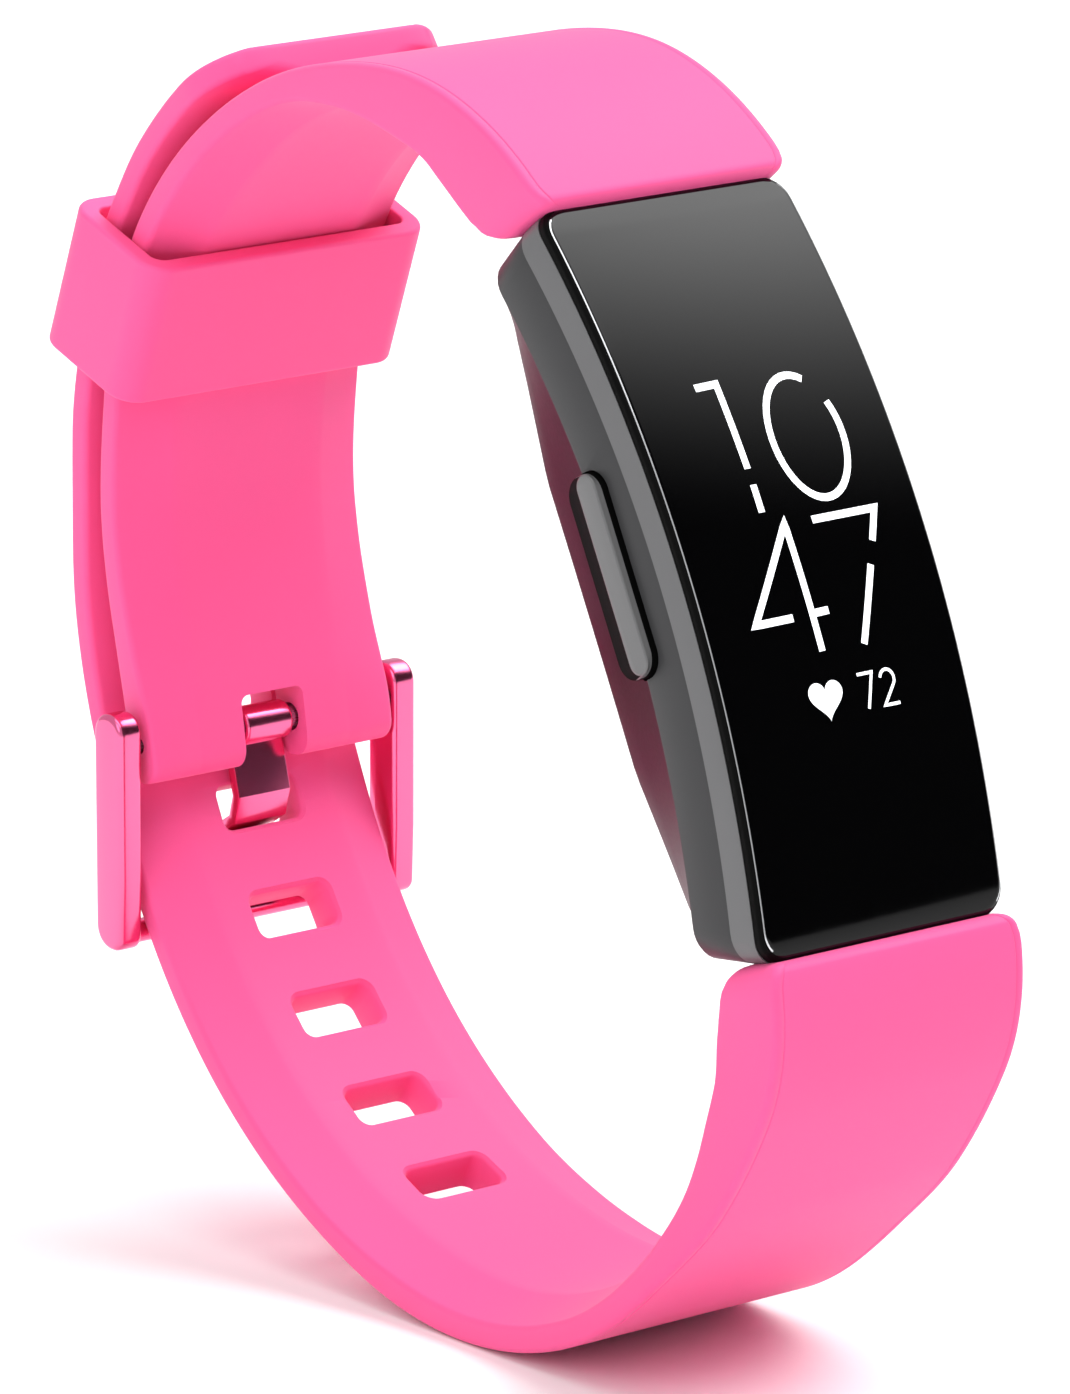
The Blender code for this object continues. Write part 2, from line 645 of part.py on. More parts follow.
def station_at(stations, place):
    for (a, start, _), (b, end, _) in zip(stations, stations[1:]):
        if place <= b:
            share = (place - a) / (b - a)
            point = (start[0] + (end[0] - start[0]) * share, start[1] + (end[1] - start[1]) * share)
            return point, math.atan2(end[1] - start[1], end[0] - start[0])
    return stations[-1][1], stations[-1][2]


def make_upper_strap(look):
    stations = with_end(upper_path(), (0.3 * MM, 0.8 * MM, 1.2 * MM))
    length = stations[-1][0]
    edges = ((0, 2.3 * MM), (0.3 * MM, 3.0 * MM), (0.8 * MM, 3.6 * MM), (1.6 * MM, 4.0 * MM), (3.4 * MM, 4.35 * MM),
             (5.1 * MM, 4.4 * MM), (7.2 * MM, 4.1 * MM), (11.5 * MM, 3.35 * MM), (16 * MM, 2.3 * MM),
             (20 * MM, 1.6 * MM), (24 * MM, 1.35 * MM), (54 * MM, 1.35 * MM), (length, 1.9 * MM))
    bulges = ((0, 0.05 * MM), (8 * MM, 0.1 * MM), (25 * MM, 0.6 * MM), (30 * MM, 0.7 * MM),
              (52 * MM, 0.7 * MM), (length, 0.2 * MM))
    widths = END_WIDTHS + ((2 * MM, STRAP_WIDTH), (length, LUG_WIDTH))
    strap = add_part("upper_strap", strap_mesh(stations, -1, widths, edges, bulges), look, smooth=True)
    lug = soften(((17.5, -1.8, 0), (17.15, -3.6, 0), (17.15, -7.4, 1.0), (19.15, -7.4, 0.9), (19.55, -4.8, 0),
                  (19.9, -1.8, 0)))
    body = add_cutter("lug", side_mesh(lug, LUG_WIDTH))
    boolean(strap, body, 'UNION')
    cut(strap, "bar_hole", rod_mesh(TUBE_RADIUS + RUN, -12 * MM, 12 * MM, BAR_Y, BAR_Z))
    notch = box_mesh((-NOTCH_WIDTH / 2, 14 * MM, -12 * MM), (NOTCH_WIDTH / 2, 24 * MM, -3.5 * MM))
    cut(strap, "tang_notch", notch)
    cut_connector_seat(strap, 1)


def make_lower_strap(look):
    stations = lower_path()
    length = stations[-1][0]
    widths = tip_widths(length)
    places = [place for place, _ in widths[-6:-1]]
    fine = [station for station in stations if station[0] < length - TIP_CORNER]
    fine = with_end(fine, (0.3 * MM, 0.8 * MM, 1.2 * MM))
    for place in [length - TIP_CORNER] + places + [length]:
        point, heading = station_at(stations, place)
        fine.append((place, point, heading))
    edges = ((0, 2.3 * MM), (0.3 * MM, 2.9 * MM), (0.8 * MM, 3.5 * MM), (1.6 * MM, 4.0 * MM), (3 * MM, 4.15 * MM),
             (5.5 * MM, 4.2 * MM), (8.7 * MM, 3.6 * MM), (12.5 * MM, 2.85 * MM), (16 * MM, 2.1 * MM),
             (20 * MM, 1.5 * MM), (24 * MM, 1.4 * MM), (45 * MM, 1.5 * MM), (52 * MM, 1.25 * MM), (length, 1.3 * MM))
    bulges = ((0, 0.05 * MM), (10 * MM, 0.1 * MM), (28 * MM, 0.65 * MM), (length, 0.65 * MM))
    strap = add_part("lower_strap", strap_mesh(fine, 1, widths, edges, bulges), look, smooth=True)
    for number in range(HOLE_COUNT):
        place = TANG_HOLE_S + (number - TANG_HOLE_INDEX) * HOLE_PITCH
        (y, z), heading = station_at(stations, place)
        turn = Matrix.Translation((0, y, z)) @ Matrix.Rotation(heading, 4, 'X')
        cut(strap, "hole", slab_mesh(HOLE_WIDTH, HOLE_LENGTH, HOLE_CORNER, -3 * MM, 3 * MM), turn)
    cut_connector_seat(strap, -1)


def ends(side, near, far):
    """Lowest and highest y of a stretch at the upper (+1) or lower (-1) end of the module."""
    return min(side * near, side * far) * MM, max(side * near, side * far) * MM


def cut_connector_seat(strap, side):
    name = "upper" if side > 0 else "lower"
    low, high = ends(side, 18.0, 21.45)
    seat = box_mesh((-5.2 * MM, low, CONNECTOR_FLOOR - GAP), (5.2 * MM, high, CONNECTOR_TOP + GAP))
    cut(strap, name + "_connector_seat", seat, MODULE)
    low, high = ends(side, 19.35, 21.25)
    pad = box_mesh((-2.2 * MM, low, -9 * MM), (2.2 * MM, high, CONNECTOR_FLOOR - GAP / 2))
    cut(strap, name + "_pad_seat", pad, MODULE)


def make_connectors(looks):
    for side, name in ((1, "upper"), (-1, "lower")):
        low, high = ends(side, 19.0, 21.3)
        body = box_mesh((-5.0 * MM, low, CONNECTOR_FLOOR), (5.0 * MM, high, CONNECTOR_TOP))
        connector = add_part(name + "_strap_connector", body, looks["steel"], MODULE)
        low, high = ends(side, 16.6, 19.5)
        tongue = box_mesh((-3.5 * MM, low, CONNECTOR_FLOOR), (3.5 * MM, high, CONNECTOR_TOP))
        boolean(connector, add_cutter(name + "_tongue", tongue, MODULE), 'UNION')
        y = side * 20.3 * MM
        pad = box_mesh((-2.0 * MM, -0.8 * MM, -0.5 * MM), (2.0 * MM, 0.8 * MM, 0.5 * MM))
        seat = MODULE @ Matrix.Translation((0, y, -3.65 * MM))
        bevel(add_part(name + "_release_pad", pad, looks["steel"], seat), 0.15 * MM, 2)
        spring = coil_mesh(0.5 * MM, 0.09 * MM, (0, y, -3.02 * MM), (0, y, -2.5 * MM), 2)
        add_part(name + "_release_spring", spring, looks["spring"], MODULE, smooth=True)


# ---------------------------------------------------------------- buckle and keeper

def make_spring_bar(looks):
    tube = add_part("buckle_bar_tube", rod_mesh(TUBE_RADIUS, -7.0 * MM, 7.0 * MM), looks["steel"],
                    Matrix.Translation((0, BAR_Y, BAR_Z)), smooth=True)
    cut(tube, "tube_bore", rod_mesh(TUBE_BORE, -9 * MM, 9 * MM, BAR_Y, BAR_Z))
    for side, name in ((-1, "left_bar_tip"), (1, "right_bar_tip")):
        low, high = sorted((side * 5.6 * MM, side * 9.35 * MM))
        add_part(name, rod_mesh(TIP_RADIUS, low, high), looks["steel"],
                 Matrix.Translation((0, BAR_Y, BAR_Z)), smooth=True)
    coil = coil_mesh(0.26 * MM, 0.07 * MM, (-5.4 * MM, BAR_Y, BAR_Z), (5.4 * MM, BAR_Y, BAR_Z), 14, 8)
    add_part("buckle_bar_spring", coil, looks["spring"], smooth=True)


def make_buckle_frame(look):
    rail = soften(((17.4, -3.5, 1.05), (19.65, -3.5, 1.05), (19.65, -15.65, 1.2), (17.6, -15.65, 0.7),
                   (17.45, -12.0, 0)))
    outline = [(y - BAR_Y, z - BAR_Z) for y, z in rail]
    place = Matrix.Translation((0, BAR_Y, BAR_Z))
    width = RAIL_OUTER_X - RAIL_INNER_X
    middle = (RAIL_OUTER_X + RAIL_INNER_X) / 2
    frame = add_part("buckle_frame", side_mesh(outline, width), look,
                     place @ Matrix.Translation((-middle, 0, 0)))
    bevel(frame, 0.3 * MM, 2)
    other = add_cutter("right_rail", side_mesh(outline, width), place @ Matrix.Translation((middle, 0, 0)))
    bevel(other, 0.3 * MM, 2)
    boolean(frame, other, 'UNION')
    bar = add_cutter("crossbar", rod_mesh(CROSSBAR_RADIUS, -middle, middle, CROSSBAR_Y, CROSSBAR_Z))
    boolean(frame, bar, 'UNION')
    cut(frame, "tip_holes", rod_mesh(TIP_RADIUS + RUN, -12 * MM, 12 * MM, BAR_Y, BAR_Z))


def make_tang(look):
    """A barrel on the bar, and a flat tongue through the strap and over the crossbar."""
    (y, z), heading = station_at(lower_path(), TANG_HOLE_S)
    hole = Vector((y, z))
    along = Vector((math.cos(heading), math.sin(heading)))
    out = Vector((along.y, -along.x))
    low = hole - along * TANG_DROP
    over = Vector((CROSSBAR_Y + CROSSBAR_RADIUS + TANG_THICK / 2 + 2 * GAP, CROSSBAR_Z - 0.7 * MM))
    line = [Vector(TANG_TOP), Vector(TANG_BEND), Vector(TANG_KNEE), low + out * 0.45 * MM,
            low + out * 0.8 * MM - along * 0.4 * MM, over]
    bar = Vector((BAR_Y, BAR_Z))
    points = [point - bar for point in line]
    left = []
    right = []
    for i, point in enumerate(points):
        ahead = (points[min(i + 1, len(points) - 1)] - point).normalized()
        behind = (point - points[max(i - 1, 0)]).normalized()
        along = (ahead + behind).normalized()
        across = Vector((-along.y, along.x)) * TANG_THICK / 2 / max(along.dot(ahead or along), 0.7)
        left.append(tuple(point + across))
        right.append(tuple(point - across))
    place = Matrix.Translation((0, BAR_Y, BAR_Z))
    tang = add_part("buckle_tang", side_mesh(left + right[::-1], TANG_WIDTH), look, place)
    bevel(tang, 0.12 * MM, 1)
    barrel = add_cutter("tang_barrel", rod_mesh(BARREL_RADIUS, -1.5 * MM, 1.5 * MM), place)
    boolean(tang, barrel, 'UNION')
    cut(tang, "tang_bore", rod_mesh(TUBE_RADIUS + RUN, -12 * MM, 12 * MM), place)


def make_keeper(look):
    """A closed loop round both layers; its origin is on the line that it slides about."""
    pivot = Matrix.Translation((0, LOOP_Y, LOOP_Z)) @ Matrix.Rotation(KEEPER_ANGLE, 4, 'X')
    half = KEEPER_HEIGHT / 2
    body = box_mesh((-KEEPER_WIDTH / 2, KEEPER_INNER, -half), (KEEPER_WIDTH / 2, KEEPER_OUTER, half))
    keeper = add_part("keeper_loop", body, look, pivot)
    bevel(keeper, 0.5 * MM, 2)
    slot = slab_mesh(SLOT_WIDTH, SLOT_OUTER - SLOT_INNER, 0.4 * MM, -half * 2, half * 2,
                     y=(SLOT_INNER + SLOT_OUTER) / 2)
    cut(keeper, "keeper_slot", slot, pivot)


def build():
    clear_scene()
    looks = {
        "glass": material("black_glass", (0.01, 0.01, 0.012), 0.08),
        "window": material("sensor_glass", (0.03, 0.02, 0.03), 0.1),
        "case": material("charcoal_case", (0.16, 0.17, 0.18), 0.4, 0.6),
        "cover": material("maroon_cover", (0.10, 0.015, 0.03), 0.25),
        "strap": material("pink_silicone", (0.95, 0.09, 0.30), 0.55),
        "buckle": material("pink_metal", (0.90, 0.20, 0.38), 0.2, 0.9),
        "steel": material("steel", (0.55, 0.56, 0.58), 0.3, 1.0),
        "spring": material("spring_steel", (0.45, 0.46, 0.48), 0.35, 1.0),
        "gold": material("gold_contact", (0.85, 0.62, 0.25), 0.25, 1.0),
        "board": material("circuit_board", (0.02, 0.10, 0.05), 0.5),
        "chip": material("chip_black", (0.03, 0.03, 0.03), 0.5),
        "led": material("led_lens", (0.60, 0.85, 0.55), 0.3),
        "battery": material("battery_foil", (0.60, 0.61, 0.62), 0.35, 0.7),
        "panel": material("display_layer", (0.02, 0.02, 0.03), 0.3),
        "rubber": material("gasket_rubber", (0.03, 0.03, 0.03), 0.8),
        "button": material("button_metal", (0.35, 0.36, 0.38), 0.3, 0.8),
    }
    make_glass(looks["glass"])
    make_gasket(looks["rubber"])
    make_display_panel(looks["panel"])
    make_case(looks["case"])
    make_rear_cover(looks["cover"])
    make_sensor(looks)
    make_electronics(looks)
    make_motor(looks)
    make_button(looks["button"])
    make_upper_strap(looks["strap"])
    make_lower_strap(looks["strap"])
    make_connectors(looks)
    make_spring_bar(looks)
    make_buckle_frame(looks["buckle"])
    make_tang(looks["buckle"])
    make_keeper(looks["strap"])
    bpy.context.view_layer.update()


build()
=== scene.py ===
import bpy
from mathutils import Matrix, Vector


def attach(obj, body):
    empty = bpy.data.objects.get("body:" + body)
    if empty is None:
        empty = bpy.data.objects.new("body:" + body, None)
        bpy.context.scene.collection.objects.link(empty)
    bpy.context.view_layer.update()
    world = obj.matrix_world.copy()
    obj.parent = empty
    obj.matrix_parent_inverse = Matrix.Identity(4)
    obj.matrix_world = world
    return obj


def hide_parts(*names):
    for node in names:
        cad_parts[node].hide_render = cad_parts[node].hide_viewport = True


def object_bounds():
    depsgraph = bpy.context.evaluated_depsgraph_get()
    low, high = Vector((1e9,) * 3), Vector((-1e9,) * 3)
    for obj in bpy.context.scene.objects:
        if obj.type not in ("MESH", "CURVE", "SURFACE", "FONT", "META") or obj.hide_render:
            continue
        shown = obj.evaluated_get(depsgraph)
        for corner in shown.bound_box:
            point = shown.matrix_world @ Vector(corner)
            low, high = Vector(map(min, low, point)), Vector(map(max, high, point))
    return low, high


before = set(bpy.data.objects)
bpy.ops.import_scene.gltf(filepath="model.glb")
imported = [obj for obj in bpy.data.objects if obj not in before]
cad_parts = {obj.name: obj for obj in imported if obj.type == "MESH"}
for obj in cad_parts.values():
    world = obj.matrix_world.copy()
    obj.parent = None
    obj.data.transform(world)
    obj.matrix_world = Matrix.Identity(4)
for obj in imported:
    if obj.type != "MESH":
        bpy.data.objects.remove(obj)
cad_bounds = [list(corner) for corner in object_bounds()]

import math

import bmesh
import bpy
from mathutils import Matrix, Vector

MM = 0.001
MODULE_TILT = math.radians(63.3)
MODULE = Matrix.Translation((0, -21 * MM, 10 * MM)) @ Matrix.Rotation(MODULE_TILT, 4, 'X')


# ---------------------------------------------------------------- looks

def node(tree, kind, **settings):
    made = tree.nodes.new(kind)
    for key, value in settings.items():
        setattr(made, key, value)
    return made


def scaled(colour, by):
    return tuple(min(c * by, 1.0) for c in colour[:3]) + (1.0,)


def finish(name, colour, roughness, metallic=0.0, grain=3000, cloud=120, spread=0.06, bump=0.1,
           mottle=0.05, stretch=(1, 1, 1), depth=0.00002, **direct):
    """A Principled finish whose colour, roughness and relief vary over the surface."""
    made = bpy.data.materials.new(name)
    made.use_nodes = True
    tree = made.node_tree
    shader = tree.nodes["Principled BSDF"]
    coords = node(tree, 'ShaderNodeTexCoord')
    place = node(tree, 'ShaderNodeMapping')
    place.inputs["Scale"].default_value = stretch
    tree.links.new(coords.outputs["Object"], place.inputs["Vector"])
    fine = node(tree, 'ShaderNodeTexNoise')
    fine.inputs["Scale"].default_value = grain
    fine.inputs["Detail"].default_value = 3
    broad = node(tree, 'ShaderNodeTexNoise')
    broad.inputs["Scale"].default_value = cloud
    broad.inputs["Detail"].default_value = 4
    tree.links.new(place.outputs["Vector"], fine.inputs["Vector"])
    tree.links.new(coords.outputs["Object"], broad.inputs["Vector"])
    tone = node(tree, 'ShaderNodeMix', data_type='RGBA')
    tone.inputs[6].default_value = scaled(colour, 1 - mottle)
    tone.inputs[7].default_value = scaled(colour, 1 + mottle)
    tree.links.new(broad.outputs["Fac"], tone.inputs[0])
    tree.links.new(tone.outputs[2], shader.inputs["Base Color"])
    both = node(tree, 'ShaderNodeMath', operation='ADD')
    tree.links.new(fine.outputs["Fac"], both.inputs[0])
    tree.links.new(broad.outputs["Fac"], both.inputs[1])
    level = node(tree, 'ShaderNodeMapRange')
    level.inputs["From Max"].default_value = 2.0
    level.inputs["To Min"].default_value = max(roughness - spread, 0.02)
    level.inputs["To Max"].default_value = roughness + spread
    tree.links.new(both.outputs[0], level.inputs["Value"])
    tree.links.new(level.outputs["Result"], shader.inputs["Roughness"])
    relief = node(tree, 'ShaderNodeBump')
    relief.inputs["Strength"].default_value = bump
    relief.inputs["Distance"].default_value = depth
    tree.links.new(fine.outputs["Fac"], relief.inputs["Height"])
    tree.links.new(relief.outputs["Normal"], shader.inputs["Normal"])
    shader.inputs["Metallic"].default_value = metallic
    for socket, value in direct.items():
        shader.inputs[socket.replace("_", " ")].default_value = value
    return made


PINK = (0.97, 0.095, 0.32)
LOOKS = {
    "silicone": finish("pink_silicone_look", PINK, 0.62, grain=6000, cloud=70, spread=0.08, bump=0.12,
                       mottle=0.03, Sheen_Weight=0.12, Sheen_Roughness=0.5, IOR=1.41),
    "glass": finish("black_glass_look", (0.001, 0.001, 0.0012), 0.07, grain=900, cloud=60, spread=0.03,
                    bump=0.01, Specular_IOR_Level=0.22),
    "glass_edge": finish("glass_edge_look", (0.001, 0.001, 0.001), 0.5, grain=3000, bump=0.02,
                         Specular_IOR_Level=0.06),
    # A light grey metal ring on the glass bevel: a painted highlight standing in for the bright line that
    # the bevel catches.
    "glass_painted_highlight": finish("glass_painted_highlight_look", (0.6, 0.61, 0.63), 0.2, 1.0, grain=3000, spread=0.05, bump=0.02),
    "case": finish("charcoal_case_look", (0.046, 0.046, 0.048), 0.45, 0.0, grain=5000, spread=0.08, bump=0.1,
                   Specular_IOR_Level=0.26),
    # The chamfer band is a lighter grey than the case: its polish, plus a painted highlight for the light it
    # catches from above.
    "chamfer_painted_highlight": finish("polished_chamfer_painted_highlight_look", (0.15, 0.15, 0.154), 0.36, 0.1, grain=4000, spread=0.06,
                      bump=0.05, stretch=(1, 0.1, 0.1), Specular_IOR_Level=0.35),
    "cover": finish("maroon_cover_look", (0.012, 0.003, 0.0052), 0.36, grain=4500, spread=0.07, bump=0.07,
                    Specular_IOR_Level=0.08),
    # The button's face is a lighter grey and its lower facet and recessed sides are near black: lit and
    # shaded copies of one grey, a painted highlight on the face and painted shade below it and in the gap.
    "button": finish("button_face_painted_lit_look", (0.145, 0.145, 0.148), 0.34, 0.1, grain=5000, spread=0.06,
                     bump=0.06, stretch=(1, 0.1, 0.1), Specular_IOR_Level=0.4),
    "button_painted_shade": finish("button_painted_shade_look", (0.0012, 0.0012, 0.0012), 0.6, grain=5000, bump=0.05,
                          Specular_IOR_Level=0.05),
    "buckle": finish("pink_metal_look", (0.84, 0.155, 0.335), 0.2, 0.97, grain=4500, cloud=200, spread=0.06,
                     bump=0.05, mottle=0.03),
    "steel": finish("steel_look", (0.55, 0.56, 0.58), 0.28, 1.0, grain=5000, stretch=(0.05, 1, 1)),
    "spring": finish("spring_steel_look", (0.42, 0.43, 0.46), 0.35, 1.0, grain=6000),
    "gold": finish("gold_contact_look", (0.86, 0.6, 0.24), 0.24, 1.0, grain=5000),
    "board": finish("circuit_board_look", (0.015, 0.09, 0.045), 0.42, grain=2500, spread=0.12, bump=0.25),
    "chip": finish("chip_look", (0.025, 0.025, 0.027), 0.55, grain=5000, bump=0.15),
    "led": finish("led_lens_look", (0.55, 0.8, 0.5), 0.2, grain=2500, Transmission_Weight=0.3),
    "foil": finish("battery_foil_look", (0.6, 0.61, 0.63), 0.32, 0.8, grain=900, bump=0.3, depth=0.00004),
    "panel": finish("display_layer_look", (0.012, 0.012, 0.018), 0.22, grain=3000, bump=0.03),
    "rubber": finish("gasket_rubber_look", (0.022, 0.022, 0.023), 0.8, grain=4000, bump=0.2),
    "window": finish("sensor_glass_look", (0.02, 0.012, 0.018), 0.1, grain=2500, spread=0.04, bump=0.02,
                     Coat_Weight=0.4),
    "lit": finish("lit_pixel_look", (0.9, 0.92, 0.95), 0.4, grain=5000, bump=0.02,
                  Emission_Color=(0.93, 0.96, 1.0, 1.0), Emission_Strength=0.95),
}
KEPT = {
    "rubber": ("display_gasket",), "panel": ("display_panel",), "window": ("sensor_window",),
    "board": ("sensor_board", "main_board"), "led": ("upper_green_led", "lower_green_led"),
    "chip": ("photodiode", "processor_chip", "radio_chip", "motion_sensor_chip"),
    "gold": ("left_charging_pin", "right_charging_pin"), "foil": ("battery",),
    "steel": ("mid_frame", "tact_switch", "vibration_motor_can", "vibration_weight",
              "upper_strap_connector", "lower_strap_connector", "upper_release_pad", "lower_release_pad",
              "buckle_bar_tube", "left_bar_tip", "right_bar_tip"),
    "spring": ("upper_release_spring", "lower_release_spring", "buckle_bar_spring"),
}


def dress_kept_nodes():
    for look, names in KEPT.items():
        for name in names:
            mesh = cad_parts[name].data
            mesh.materials.clear()
            mesh.materials.append(LOOKS[look])


# ---------------------------------------------------------------- mesh helpers

def add(name, mesh, look, place=None, smooth=45):
    made = bpy.data.objects.new(name, mesh)
    bpy.context.scene.collection.objects.link(made)
    if not mesh.materials:
        mesh.materials.append(LOOKS[look])
    if place is not None:
        mesh.transform(place)
    if smooth:
        mesh.shade_smooth()
        mesh.set_sharp_from_angle(angle=math.radians(smooth))
    return made


def to_mesh(work):
    bmesh.ops.recalc_face_normals(work, faces=work.faces)
    mesh = bpy.data.meshes.new("shape")
    work.to_mesh(mesh)
    work.free()
    return mesh


def loft(rings, around=False):
    """A solid through closed rings of points; around joins the last ring to the first."""
    work = bmesh.new()
    rows = [[work.verts.new(point) for point in ring] for ring in rings]
    pairs = list(zip(rows, rows[1:])) + ([(rows[-1], rows[0])] if around else [])
    for near, far in pairs:
        for i in range(len(near)):
            j = (i + 1) % len(near)
            work.faces.new((near[i], near[j], far[j], far[i]))
    if not around:
        work.faces.new(rows[0])
        work.faces.new(rows[-1])
    return to_mesh(work)


def boxed(width, length, corner, steps=8):
    """A rounded rectangle as (x, y) points."""
    points = []
    for quarter, (sx, sy) in enumerate(((1, 1), (-1, 1), (-1, -1), (1, -1))):
        for step in range(steps + 1):
            turn = math.pi / 2 * (quarter + step / steps)
            points.append((sx * (width / 2 - corner) + corner * math.cos(turn),
                           sy * (length / 2 - corner) + corner * math.sin(turn)))
    return points


def soften(corners, steps=8):
    """An outline from (y, z, radius) corners in millimetres, each rounded by an arc."""
    points = []
    for i, (y, z, radius) in enumerate(corners):
        here = Vector((y, z))
        before = (Vector(corners[i - 1][:2]) - here).normalized()
        after = (Vector(corners[(i + 1) % len(corners)][:2]) - here).normalized()
        half = before.angle(after) / 2
        middle = here + (before + after).normalized() * radius / math.sin(half)
        arm = here + before * radius / math.tan(half) - middle
        way = math.copysign(math.pi - 2 * half, after.x * before.y - after.y * before.x)
        for step in range(steps + 1 if radius else 1):
            turn = way * step / steps
            points.append(((middle.x + arm.x * math.cos(turn) - arm.y * math.sin(turn)) * MM,
                           (middle.y + arm.x * math.sin(turn) + arm.y * math.cos(turn)) * MM))
    return points


def side_prism(outline, low_x, high_x):
    return loft([[(x, y, z) for y, z in outline] for x in (low_x, high_x)])


def rod(radius, low_x, high_x, y, z, rim=0.0, segments=48):
    """A round rod along X whose ends are rounded by rim."""
    profile = []
    for step in range(5 if rim else 0, -1, -1):
        turn = math.pi / 2 * step / 5
        profile.append((low_x + rim * (1 - math.sin(turn)), radius - rim * (1 - math.cos(turn))))
    profile += [(low_x + high_x - x, r) for x, r in profile[::-1]]
    turns = [2 * math.pi * i / segments for i in range(segments)]
    return loft([[(x, y + r * math.cos(turn), z + r * math.sin(turn)) for turn in turns]
                 for x, r in profile])


def bevelled(piece, width, segments):
    """Rounds every edge that turns by more than 35 degrees."""
    step = piece.modifiers.new("edge", 'BEVEL')
    step.width = width
    step.segments = segments
    step.limit_method = 'ANGLE'
    step.angle_limit = math.radians(35)
    bake(piece)


def bake(piece):
    """Turns the piece's modifiers into its mesh."""
    bpy.context.view_layer.update()
    graph = bpy.context.evaluated_depsgraph_get()
    mesh = bpy.data.meshes.new_from_object(piece.evaluated_get(graph))
    piece.modifiers.clear()
    piece.data = mesh


def combine(piece, tools, operation):
    """Cuts or joins tool pieces and removes them."""
    for tool in tools:
        step = piece.modifiers.new("combine", 'BOOLEAN')
        step.operation = operation
        step.solver = 'EXACT'
        step.object = tool
        bake(piece)
        bpy.data.objects.remove(tool, do_unlink=True)
    piece.data.shade_smooth()
    piece.data.set_sharp_from_angle(angle=math.radians(38))


def tool(mesh, place=None):
    made = bpy.data.objects.new("tool", mesh)
    bpy.context.scene.collection.objects.link(made)
    if place is not None:
        mesh.transform(place)
    return made


def module_cutter(outline, low, high):
    """A straight cutter through the module, from an (x, y) outline and two heights."""
    return tool(loft([[(x * MM, y * MM, z * MM) for x, y in outline] for z in (low, high)]), MODULE)


def smooth_value(table, at):
    """The value at a place along a table of (place, value), on a smooth curve through them all."""
    if at <= table[0][0]:
        return table[0][1]
    for i, ((a, low), (b, high)) in enumerate(zip(table, table[1:])):
        if at <= b:
            before = table[max(i - 1, 0)]
            after = table[min(i + 2, len(table) - 1)]
            run = b - a
            slope_a = (high - before[1]) / (b - before[0]) if i else (high - low) / run
            slope_b = (after[1] - low) / (after[0] - a) if i + 2 < len(table) else (high - low) / run
            if (high - low) * slope_a <= 0:
                slope_a = 0.0
            if (high - low) * slope_b <= 0:
                slope_b = 0.0
            t = (at - a) / run
            return (low * (1 + 2 * t) * (1 - t) ** 2 + slope_a * run * t * (1 - t) ** 2
                    + high * t * t * (3 - 2 * t) - slope_b * run * t * t * (1 - t))
    return table[-1][1]


# ---------------------------------------------------------------- module

CORNER_POINTS = 9
SIDE_STEPS = 36


def plate(rings):
    """A solid of rounded rectangles (half width, half length, corner, height of y), in millimetres.

    Every ring has the same places along y, so that its caps follow the bend of the display."""
    work = bmesh.new()
    rows = []
    for wide, long, corner, height in rings:
        spots = []
        for i in range(CORNER_POINTS):
            turn = math.pi / 2 * i / (CORNER_POINTS - 1)
            spots.append((-long + corner * (1 - math.cos(turn)), wide - corner * (1 - math.sin(turn))))
        straight = long - corner
        spots += [(straight * (2 * i / SIDE_STEPS - 1), wide) for i in range(1, SIDE_STEPS)]
        spots += [(-y, x) for y, x in spots[CORNER_POINTS - 1::-1]]
        right = [work.verts.new((x * MM, y * MM, height(y) * MM)) for y, x in spots]
        left = [work.verts.new((-x * MM, y * MM, height(y) * MM)) for y, x in spots]
        rows.append((right, left))
    for (right, left), (right2, left2) in zip(rows, rows[1:]):
        around = right + left[::-1]
        around2 = right2 + left2[::-1]
        for i in range(len(around)):
            j = (i + 1) % len(around)
            work.faces.new((around[i], around[j], around2[j], around2[i]))
    for right, left in (rows[0], rows[-1]):
        for i in range(len(right) - 1):
            work.faces.new((right[i], right[i + 1], left[i + 1], left[i]))
    return to_mesh(work)


def bend(top, radius):
    """The height along y of an arc with its top at y = 0."""
    return lambda y: top - radius + math.sqrt(radius ** 2 - y ** 2)


def raised(height, by):
    return lambda y: height(y) + by


GLASS_TOP = bend(2.75, 64)
BAND_TOP = bend(2.1, 62)
BAND_EDGE = bend(1.27, 57)
BAND_LOW = bend(-1.6, 56)
GLASS_HALF_WIDTH = 7.5
GLASS_HALF_LENGTH = 18.42
GLASS_ROUND = 0.34


def make_glass():
    rings = [(7.22, 18.02, 1.1, raised(GLASS_TOP, -1.0)), (7.22, 18.02, 1.1, raised(BAND_TOP, 0.01)),
             (7.44, 18.38, 1.25, raised(BAND_TOP, 0.02)),
             (GLASS_HALF_WIDTH, GLASS_HALF_LENGTH, 1.3, raised(GLASS_TOP, -GLASS_ROUND))]
    for i in range(1, 9):
        turn = math.pi / 2 * i / 8
        inset = GLASS_ROUND * (1 - math.cos(turn))
        level = raised(GLASS_TOP, -GLASS_ROUND + GLASS_ROUND * math.sin(turn))
        rings.append((GLASS_HALF_WIDTH - inset, GLASS_HALF_LENGTH - inset, 1.3 - inset * 0.5, level))
    mesh = plate(rings)
    for look in ("glass", "glass_edge", "glass_painted_highlight"):
        mesh.materials.append(LOOKS[look])
    # Faces just below the glass face along the long sides get the light grey ring, a painted highlight line;
    # faces further down get the dark glass edge.
    for face in mesh.polygons:
        drop = GLASS_TOP(face.center.y / MM) - face.center.z / MM
        if drop > 0.008:
            along_side = abs(face.center.y) < 17.9 * MM
            face.material_index = 2 if along_side and 0.02 < drop < 0.06 else (1 if drop >= 0.06 else 0)
    glass = add("front_glass_lens", mesh, "glass", MODULE, 30)
    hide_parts("front_glass")
    return glass


